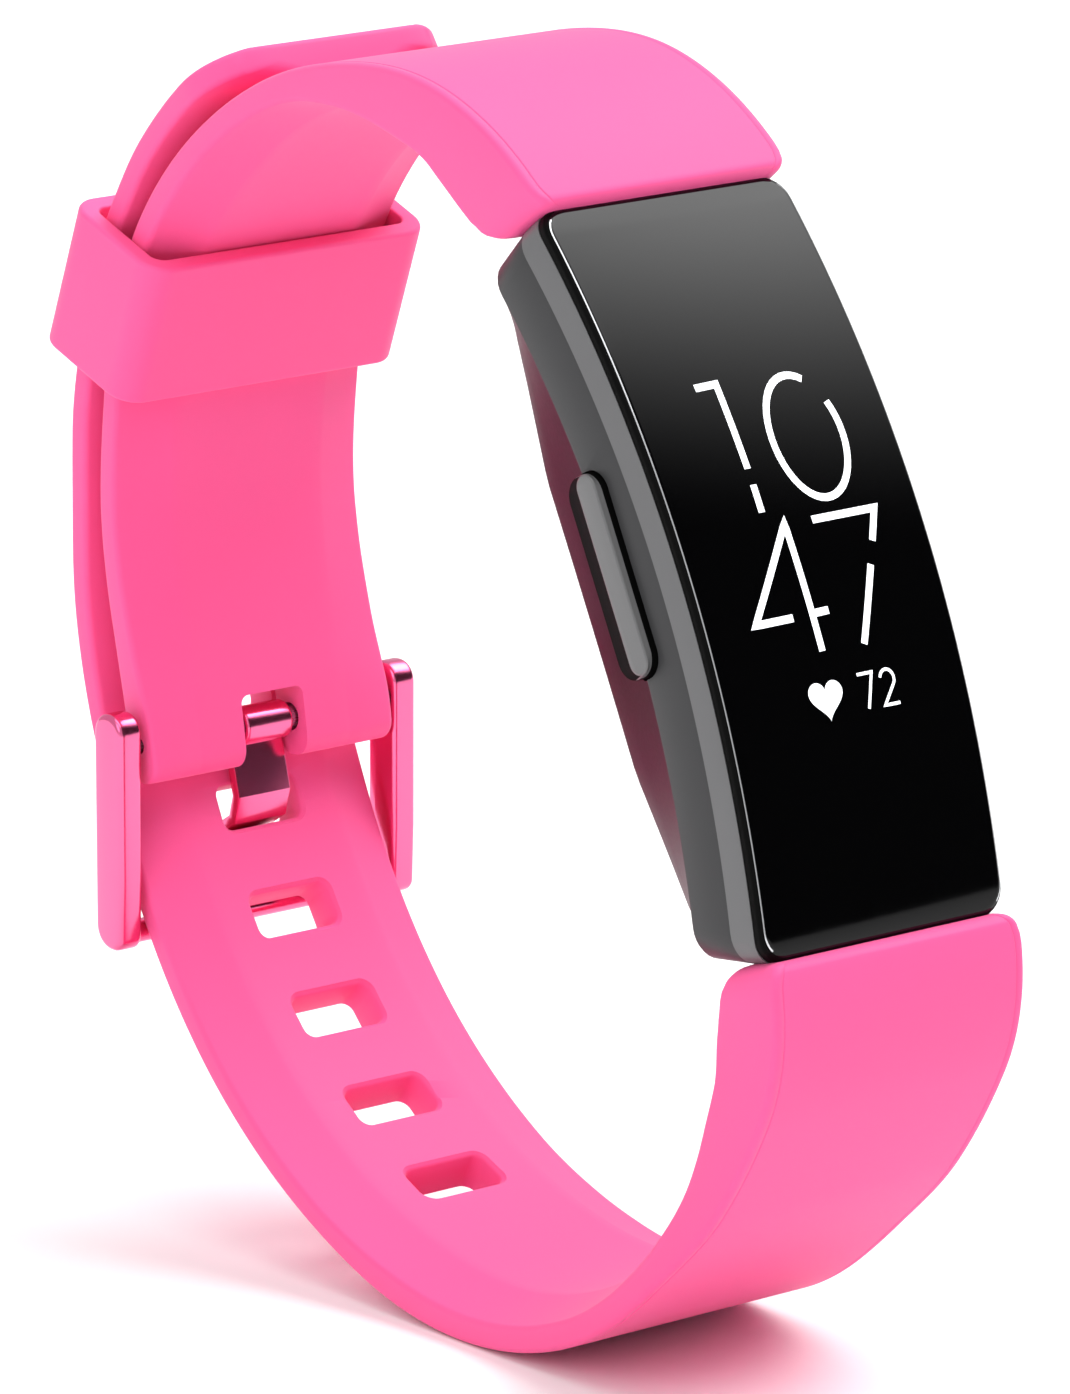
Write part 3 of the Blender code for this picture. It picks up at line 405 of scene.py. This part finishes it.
def make_case():
    rings = [(7.6, 16.9, 1.3, raised(BAND_LOW, 0.0)), (7.8, 17.0, 1.5, raised(BAND_LOW, 0.0)),
             (7.95, 17.1, 1.58, raised(BAND_LOW, 0.06)), (8.0, 17.2, 1.6, raised(BAND_LOW, 0.2)),
             (8.0, 18.08, 1.6, BAND_EDGE), (7.46, 18.4, 1.2, BAND_TOP),
             (7.2, 18.1, 1.0, raised(BAND_TOP, -0.05))]
    mesh = plate(rings)
    mesh.materials.append(LOOKS["case"])
    mesh.materials.append(LOOKS["chamfer_painted_highlight"])
    # Faces above the band edge get the lighter chamfer grey: painted highlight on the upward facet.
    for face in mesh.polygons:
        y = face.center.y / MM
        if face.center.z / MM > BAND_EDGE(y) + 0.02:
            face.material_index = 1
    case = add("case_shell", mesh, "case", MODULE, 20)
    seat = plate([(7.3, 18.1, 1.15, raised(GLASS_TOP, lift)) for lift in (-1.4, 1.0)])
    hollow = module_cutter(boxed(13.4, 31.7, 0.8), -9, 9)
    combine(case, [tool(seat, MODULE), hollow], 'DIFFERENCE')
    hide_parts("main_case")
    return case


def cover_height(share):
    """The height at a share of the way from the joint with the case to the skin face."""
    def skin(y):
        far = abs(y)
        return -8.9 if far < 7.3 else -8.9 + 1.4 * (far - 7.3) / (15.6 - 7.3)
    return lambda y: (BAND_LOW(y) - 0.04) * (1 - share) + skin(y) * share


def make_cover():
    def wide(share):
        return 7.85 - 3.25 * share
    def long(share):
        return 16.75 - 1.25 * share
    rings = [(7.5, 16.4, 1.3, cover_height(0.0))]
    for share in (0.0, 0.02, 0.3, 0.6, 0.88):
        rings.append((wide(share), long(share), 1.6, cover_height(share)))
    for i in range(1, 6):
        turn = math.pi / 2 * i / 5
        inset = 0.75 * (1 - math.cos(turn))
        share = 0.88 + 0.12 * math.sin(turn)
        rings.append((wide(share) - inset, long(share) - inset, 1.6, cover_height(share)))
    cover = add("skin_side_cover", plate(rings), "cover", MODULE, 40)
    inside = [(wide(share) - 1.0, long(share) - 0.9, 0.9, cover_height(share))
              for share in (-0.4, 0.0, 0.4, 0.87)]
    tools = [tool(plate(inside), MODULE), module_cutter(boxed(6.25, 8.85, 1.45), -8.2, -12)]
    turns = [math.pi * i / 24 for i in range(48)]
    for x in (-1.5, 1.5):
        pin_hole = [(x + 0.68 * math.cos(turn), -10.5 + 0.68 * math.sin(turn)) for turn in turns]
        tools.append(module_cutter(pin_hole, -8.0, -12))
    combine(cover, tools, 'DIFFERENCE')
    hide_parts("rear_cover")
    return cover


def button_ring(x, low, high, half, corner):
    """A rounded rectangle in the module's side plane."""
    return [(x * MM, (1.05 + u) * MM, ((low + high) / 2 + v) * MM)
            for u, v in boxed(half * 2, high - low, corner)]


def make_button(case, cover):
    for piece in (case, cover):
        hole = loft([button_ring(x, -2.98, -0.27, 5.08, 1.15) for x in (-9.5, -6.0)])
        combine(piece, [tool(hole, MODULE)], 'DIFFERENCE')
    steps = ((-7.1, -2.87, -0.37, 4.96, 1.08), (-8.3, -2.87, -0.37, 4.97, 1.08),
             (-8.36, -2.85, -0.38, 4.96, 1.06), (-8.58, -1.82, -0.42, 4.9, 0.69),
             (-8.64, -1.72, -0.46, 4.84, 0.62), (-8.66, -1.66, -0.5, 4.8, 0.57))
    mesh = loft([button_ring(*step) for step in steps])
    mesh.materials.append(LOOKS["button"])
    mesh.materials.append(LOOKS["button_painted_shade"])
    # The lower facet and the sides inside the case wall get near black: painted shade under the button and
    # in the gap around it.
    for face in mesh.polygons:
        lower = face.center.z < -1.6 * MM and face.center.x > -8.6 * MM
        face.material_index = 1 if lower or face.center.x > -8.3 * MM else 0
    button = add("side_button_cap", mesh, "button", MODULE, 20)
    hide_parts("side_button")
    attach(button, "button")


# ---------------------------------------------------------------- display

MARK_LOW = -0.004
MARK_HIGH = 0.006
BIG_STROKE = 0.37
SMALL_STROKE = 0.15


def on_glass(x, y, lift):
    return (x * MM, y * MM, (GLASS_TOP(y) + lift) * MM)


def stroke(points, width):
    """A thin raised line on the glass through (x, y) points, with mitred corners."""
    fine = []
    for a, b in zip(points, points[1:]):
        count = max(1, round(math.dist(a, b) / 0.3))
        fine += [(a[0] + (b[0] - a[0]) * i / count, a[1] + (b[1] - a[1]) * i / count) for i in range(count)]
    fine.append(points[-1])
    rings = []
    for i, here in enumerate(fine):
        ahead = Vector(fine[min(i + 1, len(fine) - 1)]) - Vector(here)
        behind = Vector(here) - Vector(fine[max(i - 1, 0)])
        ahead = (ahead if ahead.length else behind).normalized()
        behind = (behind if behind.length else ahead).normalized()
        along = (ahead + behind).normalized()
        across = Vector((-along.y, along.x)) * width / 2 / max(along.dot(ahead), 0.5)
        rings.append([on_glass(here[0] + s * across.x, here[1] + s * across.y, lift)
                      for s, lift in ((-1, MARK_LOW), (1, MARK_LOW), (1, MARK_HIGH), (-1, MARK_HIGH))])
    return loft(rings)


def arc(x, y, wide, high, start, end, count=40):
    """Points on an ellipse between two angles in degrees."""
    points = []
    for i in range(count + 1):
        turn = math.radians(start + (end - start) * i / count)
        points.append((x + wide * math.cos(turn), y + high * math.sin(turn)))
    return points


def heart(x, y, size):
    points = []
    for i in range(48):
        t = 2 * math.pi * i / 48
        tall = 13 * math.cos(t) - 5 * math.cos(2 * t) - 2 * math.cos(3 * t) - math.cos(4 * t)
        points.append((x + size * 16 * math.sin(t) ** 3 / 17, y + size * tall / 17))
    return loft([[on_glass(a, b, lift) for a, b in points] for lift in (MARK_LOW, MARK_HIGH)])


def make_display():
    small_two = arc(2.6, -6.8, 0.42, 0.45, 165, -30, 14) + [(2.15, -8.0), (3.08, -8.0)]
    marks = {
        "hour_tens": [stroke([(-3.3, 8.4), (-2.0, 8.44), (-2.0, 4.15)], BIG_STROKE),
                      stroke([(-2.0, 3.35), (-2.03, 1.98)], BIG_STROKE)],
        "hour_units": [stroke(arc(2.15, 5.2, 2.13, 3.08, 64, 389), BIG_STROKE)],
        "minute_tens": [stroke([(-2.05, -3.18), (-4.35, -3.2), (-0.93, 1.3), (-0.83, -4.95)], BIG_STROKE),
                        stroke([(-0.7, -3.14), (0.15, -3.12)], BIG_STROKE)],
        "minute_units": [stroke([(0.75, 1.2), (4.62, 1.22), (3.92, -0.3)], BIG_STROKE),
                         stroke([(3.4, -1.4), (1.75, -5.0)], BIG_STROKE)],
        "pulse_icon": [heart(-1.25, -7.12, 1.1)],
        "pulse_tens": [stroke([(0.85, -6.35), (1.75, -6.35), (1.15, -8.0)], SMALL_STROKE)],
        "pulse_units": [stroke(small_two, SMALL_STROKE)],
    }
    for name, meshes in marks.items():
        work = bmesh.new()
        for mesh in meshes:
            work.from_mesh(mesh)
        mark = add("display_" + name, to_mesh(work), "lit", MODULE, 0)
        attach(mark, "band")


# ---------------------------------------------------------------- straps

def arc_path(point, heading, arcs, pitch=0.45):
    """Stations (place along, (y, z), heading) over arcs of (radius, turn in degrees)."""
    stations = [(0.0, point, heading)]
    for radius, turn in arcs:
        turn = math.radians(turn)
        count = max(2, round(radius * abs(turn) / pitch))
        for _ in range(count):
            place, (y, z), _ = stations[-1]
            step = turn / count
            chord = 2 * radius * math.sin(abs(step) / 2)
            y += chord * math.cos(heading + step / 2)
            z += chord * math.sin(heading + step / 2)
            heading += step
            stations.append((place + radius * abs(step), (y, z), heading))
    return stations


def blend_path(stations, point, heading, count, pull):
    """Stations on from the last one to a point and heading, on a smooth curve."""
    place, start, turned = stations[-1]
    reach = pull * math.dist(start, point)
    spots = []
    for i in range(1, count + 1):
        t = i / count
        a = t * (1 - t) ** 2 * reach
        b = -t * t * (1 - t) * reach
        ease = t * t * (3 - 2 * t)
        y = start[0] + (point[0] - start[0]) * ease + a * math.cos(turned) + b * math.cos(heading)
        z = start[1] + (point[1] - start[1]) * ease + a * math.sin(turned) + b * math.sin(heading)
        spots.append((y, z))
    trail = [start] + spots + [(point[0] + math.cos(heading), point[1] + math.sin(heading))]
    for i, spot in enumerate(spots):
        place += math.dist(trail[i], spot)
        way = math.atan2(trail[i + 2][1] - trail[i][1], trail[i + 2][0] - trail[i][0])
        stations.append((place, spot, way if i < count - 1 else heading))
    return stations


# Both straps' outer edges as arcs of (radius, turn), and small pushes (place, push) onto them. The arcs
# and the thickness tables below come from points measured on the photograph by helper scripts.
UPPER_ARCS = ((18, -50.6), (22.8, -93.7), (400, -1.1), (45, 4.5), (400, 0.13))
LOWER_ARCS = ((11, 42), (32, 28), (21.5, 57), (34, 35.5))
UPPER_PUSH = ((0, 0), (9, 0.05), (16, -0.1), (23, 0), (36, 0.25), (46, -0.1), (56, 0.55), (61, 0.5))
LOWER_PUSH = ((0, 0), (14, -0.05), (20, -0.33), (28, -0.08), (42, -0.22), (61, 0), (72, 0), (84, 0.5),
              (93, -0.05), (98, -0.2), (106, 0), (110, 0.12), (122, 0.12))
LOOP_MIDDLE = (-1.5, 9)
TONGUE_RADIUS = 25.3
TANG_PLACE = 72.5
EDGE_RADIUS = 0.32
HOLE_PITCH = 6.1
END_TURN = 4


def eased(table, at):
    for (a, low), (b, high) in zip(table, table[1:]):
        if at <= b:
            share = max(at - a, 0.0) / (b - a)
            return low + (high - low) * share * share * (3 - 2 * share)
    return table[-1][1]


def pushed(stations, side, pushes):
    moved = []
    for place, (y, z), heading in stations:
        push = eased(pushes, place)
        normal = heading + side * math.pi / 2
        moved.append((place, (y - push * math.cos(normal), z - push * math.sin(normal)), heading))
    return moved


def led_in(stations):
    """The stations with a short straight start, up to the end of the module."""
    _, (y, z), heading = stations[0]
    reach = 0.22
    start = (-reach, (y - reach * math.cos(heading), z - reach * math.sin(heading)), heading)
    return [start] + stations


def upper_path():
    stations = arc_path((-13.2, 26.95), math.radians(43), UPPER_ARCS)
    return led_in(pushed(stations, -1, UPPER_PUSH))


def lower_path():
    stations = arc_path((-29.95, -6.5), math.radians(-106), LOWER_ARCS)
    low = math.radians(-4)
    meet = (LOOP_MIDDLE[0] + TONGUE_RADIUS * math.cos(low), LOOP_MIDDLE[1] + TONGUE_RADIUS * math.sin(low))
    stations = blend_path(stations, meet, low + math.pi / 2, 56, 1.15)
    place = stations[-1][0]
    tongue = arc_path(meet, low + math.pi / 2, ((TONGUE_RADIUS, 62.5),))
    stations += [(place + s, point, heading) for s, point, heading in tongue[1:]]
    return led_in(pushed(stations, 1, LOWER_PUSH))


def station_at(stations, place):
    for (a, start, _), (b, end, _) in zip(stations, stations[1:]):
        if place <= b:
            share = (place - a) / (b - a)
            return ((start[0] + (end[0] - start[0]) * share, start[1] + (end[1] - start[1]) * share),
                    math.atan2(end[1] - start[1], end[0] - start[0]))
    return stations[-1][1], stations[-1][2]


def section(point, inward, half, edge, middle, rim):
    """A closed section: rounded edges, a flat outside with a fine line near each edge, a raised inside."""
    rim = min(rim, edge * 0.4)
    crease = 4.8 * half / 7.8
    line = half - 0.62
    shape = [(line, 0.0), (line + 0.06, 0.05), (line + 0.12, 0.012)]
    for i in range(6):
        turn = math.pi / 2 * i / 5
        shape.append((half - rim * (1 - math.sin(turn)), rim * (1 - math.cos(turn))))
    for i in range(6):
        turn = math.pi / 2 * i / 5
        shape.append((half - rim * (1 - math.cos(turn)), edge - rim * (1 - math.sin(turn))))
    slope = (middle - edge) / max(half - rim - crease, 0.1)
    shape.append((crease + 0.14, middle - slope * 0.14))
    shape.append((crease + 0.05, middle - slope * 0.05 - 0.012))
    shape.append((crease - 0.06, middle))
    shape.append((crease - 0.6, middle + 0.01))
    full = shape + [(-x, depth) for x, depth in reversed(shape)]
    return [(x * MM, (point[0] + depth * inward[0]) * MM, (point[1] + depth * inward[1]) * MM)
            for x, depth in full]


def strap_mesh(stations, side, widths, edges, bulges, rim_at_tip, narrowing):
    module_in = -(math.pi / 2 - MODULE_TILT) + side * math.radians(12)
    rings = []
    length = stations[-1][0]
    for place, point, heading in stations:
        normal = math.remainder(heading + side * math.pi / 2, 2 * math.pi)
        share = min(max(place / END_TURN, 0.0), 1.0)
        share = share * share * (3 - 2 * share)
        angle = module_in + (normal - module_in) * share if place < END_TURN else normal
        edge = smooth_value(edges, place)
        half = smooth_value(widths, place) / 2
        middle = edge + smooth_value(bulges, place)
        lift = 0.0
        if length - place < rim_at_tip:
            short = 1 - (length - place) / rim_at_tip
            lift = rim_at_tip * 0.9 * (1 - math.sqrt(max(1 - short ** 2, 0.0)))
        inward = (math.cos(angle), math.sin(angle))
        dip = 0.0
        if place < stations[0][0] + START_ROUND:
            short = 1 - (place - stations[0][0]) / START_ROUND
            dip = START_ROUND * (1 - math.sqrt(max(1 - short ** 2, 0.0)))
        edge -= dip
        middle -= dip
        spot = (point[0] + (lift + dip) * inward[0], point[1] + (lift + dip) * inward[1])
        rings.append(section(spot, inward, half - lift * narrowing, edge - 2 * lift, middle - 2 * lift,
                             EDGE_RADIUS))
    return loft(rings)


END_WIDTHS = [(-0.22, 13.7), (-0.12, 14.35), (0.05, 14.8), (0.35, 15.2), (0.8, 15.5), (1.4, 15.6)]
END_PLACES = (-0.205, -0.18, -0.15, -0.12, -0.05, 0.05, 0.16, 0.28, 0.38)
END_EDGES = [(-0.22, 2.7), (-0.14, 3.1), (0.0, 3.5), (0.3, 3.95), (0.8, 4.35), (1.5, 4.55), (2.4, 4.55)]
LUG_ROUND = 1.0
START_ROUND = 0.6


def with_places(stations, places):
    """The stations with more of them at the given places."""
    known = {round(station[0], 6) for station in stations}
    extra = [(place, *station_at(stations, place)) for place in places if round(place, 6) not in known]
    return sorted(stations + extra, key=lambda station: station[0])


def make_upper_strap():
    stations = upper_path()
    length = stations[-1][0]
    fine = [length - LUG_ROUND * (1 - math.sin(math.pi / 2 * i / 10)) for i in range(10)]
    stations = with_places(stations, list(END_PLACES) + fine)
    lug = length - 4.4
    edges = END_EDGES + [(3.4, 4.6), (5.1, 4.5), (7.2, 4.15), (9, 3.7), (11.5, 3.35), (14, 2.85),
                         (16.4, 2.3), (18.5, 1.9), (20.3, 1.6), (23, 1.38),
                         (27, 1.33), (33, 1.4), (48, 1.32), (54, 1.38),
                         (lug - 2, 1.6), (lug, 1.85), (lug + 1.8, 2.15), (lug + 3.4, 2.2), (length, 2.15)]
    bulges = [(0, 0.05), (8, 0.1), (25, 0.8), (30, 0.95), (52, 0.85), (lug, 0.4), (lug + 2, 0.1),
              (length, 0.05)]
    widths = END_WIDTHS + [(length * 0.5, 15.5), (length, 15.2)]
    strap = add("upper_strap_body", strap_mesh(stations, -1, widths, edges, bulges, LUG_ROUND, 0.12),
                "silicone", None, 38)
    bar = tool(rod(0.72 * MM, -7.15 * MM, 7.15 * MM, BAR[0] * MM, BAR[1] * MM))
    tips = tool(rod(0.42 * MM, -12 * MM, 12 * MM, BAR[0] * MM, BAR[1] * MM))
    notch = loft([[(x * MM, y * MM, z * MM) for x, z in
                   [(a, b - 8.0) for a, b in boxed(3.9, 9.0, 0.45)]] for y in (13, 25)])
    combine(strap, [bar, tips, tool(notch)], 'DIFFERENCE')
    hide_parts("upper_strap")
    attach(strap, "band")


def flared_hole(width, length, corner, thick):
    """A slot's cutter, with its mouths rounded outwards on both faces of the strap."""
    rings = []
    mouth = ((-0.6, 0.5), (-0.02, 0.2), (0.03, 0.12), (0.1, 0.05), (0.22, 0.0))
    far_mouth = [(thick - depth, grow) for depth, grow in reversed(mouth)]
    for depth, grow in [*mouth, *far_mouth]:
        rings.append([(x * MM, y * MM, depth * MM)
                      for x, y in boxed(width + 2 * grow, length + 2 * grow, corner + grow)])
    return loft(rings)


def make_lower_strap():
    stations = lower_path()
    length = stations[-1][0]
    corner = 3.4
    widths = END_WIDTHS + [(length * 0.3, 15.5), (length * 0.6, 15.2), (length - corner - 4, 15.2)]
    for i in range(0, 13):
        turn = math.pi / 2 * i / 12
        widths.append((length - corner * (1 - math.sin(turn)), 15.2 - 2 * corner * (1 - math.cos(turn))))
    tips = [length - corner * (1 - math.sin(math.pi / 2 * i / 12)) for i in range(1, 12)]
    stations = with_places(stations, list(END_PLACES) + tips)
    edges = [(-0.22, 2.5), (-0.14, 2.9), (0.0, 3.2), (0.3, 3.6), (0.8, 3.95), (1.5, 4.15), (2.4, 4.23),
             (3.4, 4.26), (5.5, 4.2), (8.7, 3.6), (10.6, 3.25), (12.5, 2.8), (14.9, 2.3), (17.8, 1.8),
             (20.2, 1.5), (24, 1.4), (34, 1.4), (42, 1.5), (50, 1.25), (70, 1.3), (length, 1.3)]
    bulges = [(0, 0.05), (10, 0.1), (28, 0.95), (70, 0.95), (80, 0.65), (length - 5, 0.65), (length, 0.45)]
    strap = add("lower_strap_body", strap_mesh(stations, 1, widths, edges, bulges, 0.35, 0.8),
                "silicone", None, 38)
    tools = []
    for number in range(10):
        (y, z), heading = station_at(stations, TANG_PLACE + (number - 4) * HOLE_PITCH)
        turn = Matrix.Translation((0, y * MM, z * MM)) @ Matrix.Rotation(heading, 4, 'X')
        tools.append(tool(flared_hole(4.9, 2.3, 0.55, 2.2 if number < 6 else 1.95), turn))
    combine(strap, tools, 'DIFFERENCE')
    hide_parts("lower_strap")
    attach(strap, "band")


# ---------------------------------------------------------------- buckle and keeper

BAR = (18.3, -5.35)


def make_buckle():
    outline = soften(((17.4, -3.5, 1.05), (19.65, -3.5, 1.05), (19.65, -15.65, 1.2), (17.6, -15.65, 0.7),
                      (17.45, -12.0, 0)), 10)
    frame_piece = add("buckle_rails", side_prism(outline, -9.45 * MM, -8.0 * MM), "buckle")
    bevelled(frame_piece, 0.32 * MM, 4)
    other = tool(side_prism(outline, 8.0 * MM, 9.45 * MM))
    bevelled(other, 0.32 * MM, 4)
    bar = tool(rod(0.6 * MM, -8.7 * MM, 8.7 * MM, 18.6 * MM, -14.95 * MM))
    combine(frame_piece, [other, bar], 'UNION')
    tip_holes = tool(rod(0.4 * MM, -9.37 * MM, 9.37 * MM, BAR[0] * MM, BAR[1] * MM))
    combine(frame_piece, [tip_holes], 'DIFFERENCE')
    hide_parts("buckle_frame")
    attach(frame_piece, "buckle")


def make_tang():
    (y, z), heading = station_at(lower_path(), TANG_PLACE)
    along = Vector((math.cos(heading), math.sin(heading)))
    out = Vector((along.y, -along.x))
    low = Vector((y, z)) - along * 0.85
    line = [Vector((19.0, -5.6)), Vector((18.15, -8.95)), Vector((18.5, -10.2)), low + out * 0.45,
            low + out * 0.8 - along * 0.4, Vector((19.8, -15.65))]
    left = []
    right = []
    for i, point in enumerate(line):
        ahead = (line[min(i + 1, len(line) - 1)] - point).normalized()
        behind = (point - line[max(i - 1, 0)]).normalized()
        way = (ahead + behind).normalized()
        across = Vector((-way.y, way.x)) * 0.3 / max(way.dot(ahead if ahead.length else way), 0.7)
        radius = 0.12 if 0 < i < len(line) - 1 else 0.1
        left.append((*(point + across), radius))
        right.append((*(point - across), radius))
    outline = soften(left + right[::-1], 3)
    tang = add("buckle_tongue", side_prism(outline, -1.65 * MM, 1.65 * MM), "buckle")
    bevelled(tang, 0.1 * MM, 2)
    combine(tang, [tool(rod(1.0 * MM, -1.5 * MM, 1.5 * MM, BAR[0] * MM, BAR[1] * MM, 0.25 * MM))], 'UNION')
    combine(tang, [tool(rod(0.72 * MM, -12 * MM, 12 * MM, BAR[0] * MM, BAR[1] * MM))], 'DIFFERENCE')
    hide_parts("buckle_tang")
    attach(tang, "tang")


def make_keeper():
    middle = (19.2 + 26.6) / 2
    slot_middle = (20.2 + 25.55) / 2
    rings = []
    for i in range(7):
        turn = math.pi / 2 * i / 6
        inset = 0.25 * (1 - math.sin(turn))
        rings.append((0, inset, -3.85 + 0.25 * (1 - math.cos(turn))))
    rings += [(0, inset, -z) for _, inset, z in reversed(rings)]
    inner = []
    for i in range(5):
        turn = math.pi / 2 * i / 4
        inner.append((1, 0.13 * (1 - math.sin(turn)), 3.85 - 0.13 * (1 - math.cos(turn))))
    inner += [(1, inset, -z) for _, inset, z in reversed(inner)]
    loops = []
    for inside, inset, z in rings + inner:
        if inside:
            across = slot_middle
            outline = boxed(15.7 + 2 * inset, 5.35 + 2 * inset, 0.6 + inset, 12)
        else:
            across = middle
            outline = boxed(17.6 - 2 * inset, 7.4 - 2 * inset, 1.5 - inset, 12)
        loops.append([(x * MM, (y + across) * MM, z * MM) for x, y in outline])
    middle_of_loop = Matrix.Translation((0, LOOP_MIDDLE[0] * MM, LOOP_MIDDLE[1] * MM))
    place = middle_of_loop @ Matrix.Rotation(math.radians(20.5), 4, 'X')
    keeper = add("keeper_band", loft(loops, around=True), "silicone", place, 40)
    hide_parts("keeper_loop")
    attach(keeper, "keeper")


# ---------------------------------------------------------------- floor, light and camera

def make_floor(level):
    work = bmesh.new()
    steps = 24
    reach = 4.0
    grid = [[work.verts.new((reach * (2 * i / steps - 1), reach * (2 * j / steps - 1), level))
             for j in range(steps + 1)] for i in range(steps + 1)]
    for i in range(steps):
        for j in range(steps):
            work.faces.new((grid[i][j], grid[i + 1][j], grid[i + 1][j + 1], grid[i][j + 1]))
    LOOKS["floor"] = finish("pale_floor_look", (0.97, 0.97, 0.97), 0.8, grain=900, cloud=8, spread=0.05,
                            bump=0.02, mottle=0.005)
    floor = add("studio_floor", to_mesh(work), "floor", None, 0)


def make_world():
    """A pale surround that is dark towards one side, which the glass mirrors."""
    world = bpy.data.worlds.new("studio")
    bpy.context.scene.world = world
    world.use_nodes = True
    tree = world.node_tree
    coords = node(tree, 'ShaderNodeTexCoord')
    toward = node(tree, 'ShaderNodeVectorMath', operation='DOT_PRODUCT')
    toward.inputs[1].default_value = Vector((0.66, -0.72, 0.2)).normalized()
    tree.links.new(coords.outputs["Generated"], toward.inputs[0])
    share = node(tree, 'ShaderNodeMapRange', interpolation_type='SMOOTHSTEP')
    share.inputs["From Min"].default_value = 0.45
    share.inputs["From Max"].default_value = 0.85
    tree.links.new(toward.outputs["Value"], share.inputs["Value"])
    mix = node(tree, 'ShaderNodeMix', data_type='RGBA')
    mix.inputs[6].default_value = (1.0, 1.0, 1.0, 1.0)
    mix.inputs[7].default_value = (0.02, 0.02, 0.02, 1.0)
    tree.links.new(share.outputs["Result"], mix.inputs[0])
    upward = node(tree, 'ShaderNodeVectorMath', operation='DOT_PRODUCT')
    upward.inputs[1].default_value = Vector((0.61, -0.098, 0.787)).normalized()
    tree.links.new(coords.outputs["Generated"], upward.inputs[0])
    rise = node(tree, 'ShaderNodeMapRange')
    rise.inputs["From Min"].default_value = 0.8
    rise.inputs["From Max"].default_value = 0.985
    tree.links.new(upward.outputs["Value"], rise.inputs["Value"])
    cubed = node(tree, 'ShaderNodeMath', operation='POWER')
    cubed.inputs[1].default_value = 3.0
    tree.links.new(rise.outputs["Result"], cubed.inputs[0])
    glow = node(tree, 'ShaderNodeMix', data_type='RGBA')
    glow.clamp_result = False
    glow.inputs[7].default_value = (8.5, 8.5, 8.5, 1.0)
    tree.links.new(cubed.outputs[0], glow.inputs[0])
    tree.links.new(mix.outputs[2], glow.inputs[6])
    back = tree.nodes["Background"]
    tree.links.new(glow.outputs[2], back.inputs["Color"])
    back.inputs["Strength"].default_value = 0.74


def add_light(name, place, target, power, size, tall):
    data = bpy.data.lights.new(name, 'AREA')
    data.energy = power
    data.shape = 'RECTANGLE'
    data.size = size
    data.size_y = tall
    lamp = bpy.data.objects.new(name, data)
    lamp.location = place
    lamp.rotation_euler = (Vector(place) - Vector(target)).to_track_quat('Z', 'Y').to_euler()
    bpy.context.scene.collection.objects.link(lamp)


# The camera was fitted to the photograph: metres, degrees, and a lens in millimetres on a 36 mm sensor.
CAMERA_PLACE = (-0.28065, -0.34321, 0.11016)
CAMERA_DOWN = 14.017
CAMERA_TURN = -39.563
LENS = 241.902


def make_studio():
    make_floor(cad_bounds[0][2] - 0.00005)
    make_world()
    add_light("overhead_softbox", (0.05, -0.2, 0.8), (0, 0, 0), 3.2, 0.8, 0.8)
    add_light("left_softbox", (-0.7, -0.3, 0.5), (0, 0, 0), 1.4, 0.5, 0.6)
    data = bpy.data.cameras.new("camera")
    data.sensor_width = 36
    data.lens = LENS
    data.clip_end = 20
    camera = bpy.data.objects.new("camera", data)
    camera.location = CAMERA_PLACE
    camera.rotation_euler = (math.radians(90 - CAMERA_DOWN), 0, math.radians(CAMERA_TURN))
    bpy.context.scene.collection.objects.link(camera)
    bpy.context.scene.camera = camera
    bpy.context.scene.view_settings.view_transform = 'Standard'


dress_kept_nodes()
case = make_case()
cover = make_cover()
make_button(case, cover)
for piece in (make_glass(), case, cover):
    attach(piece, "band")
make_display()
make_upper_strap()
make_lower_strap()
make_buckle()
make_tang()
make_keeper()
make_studio()
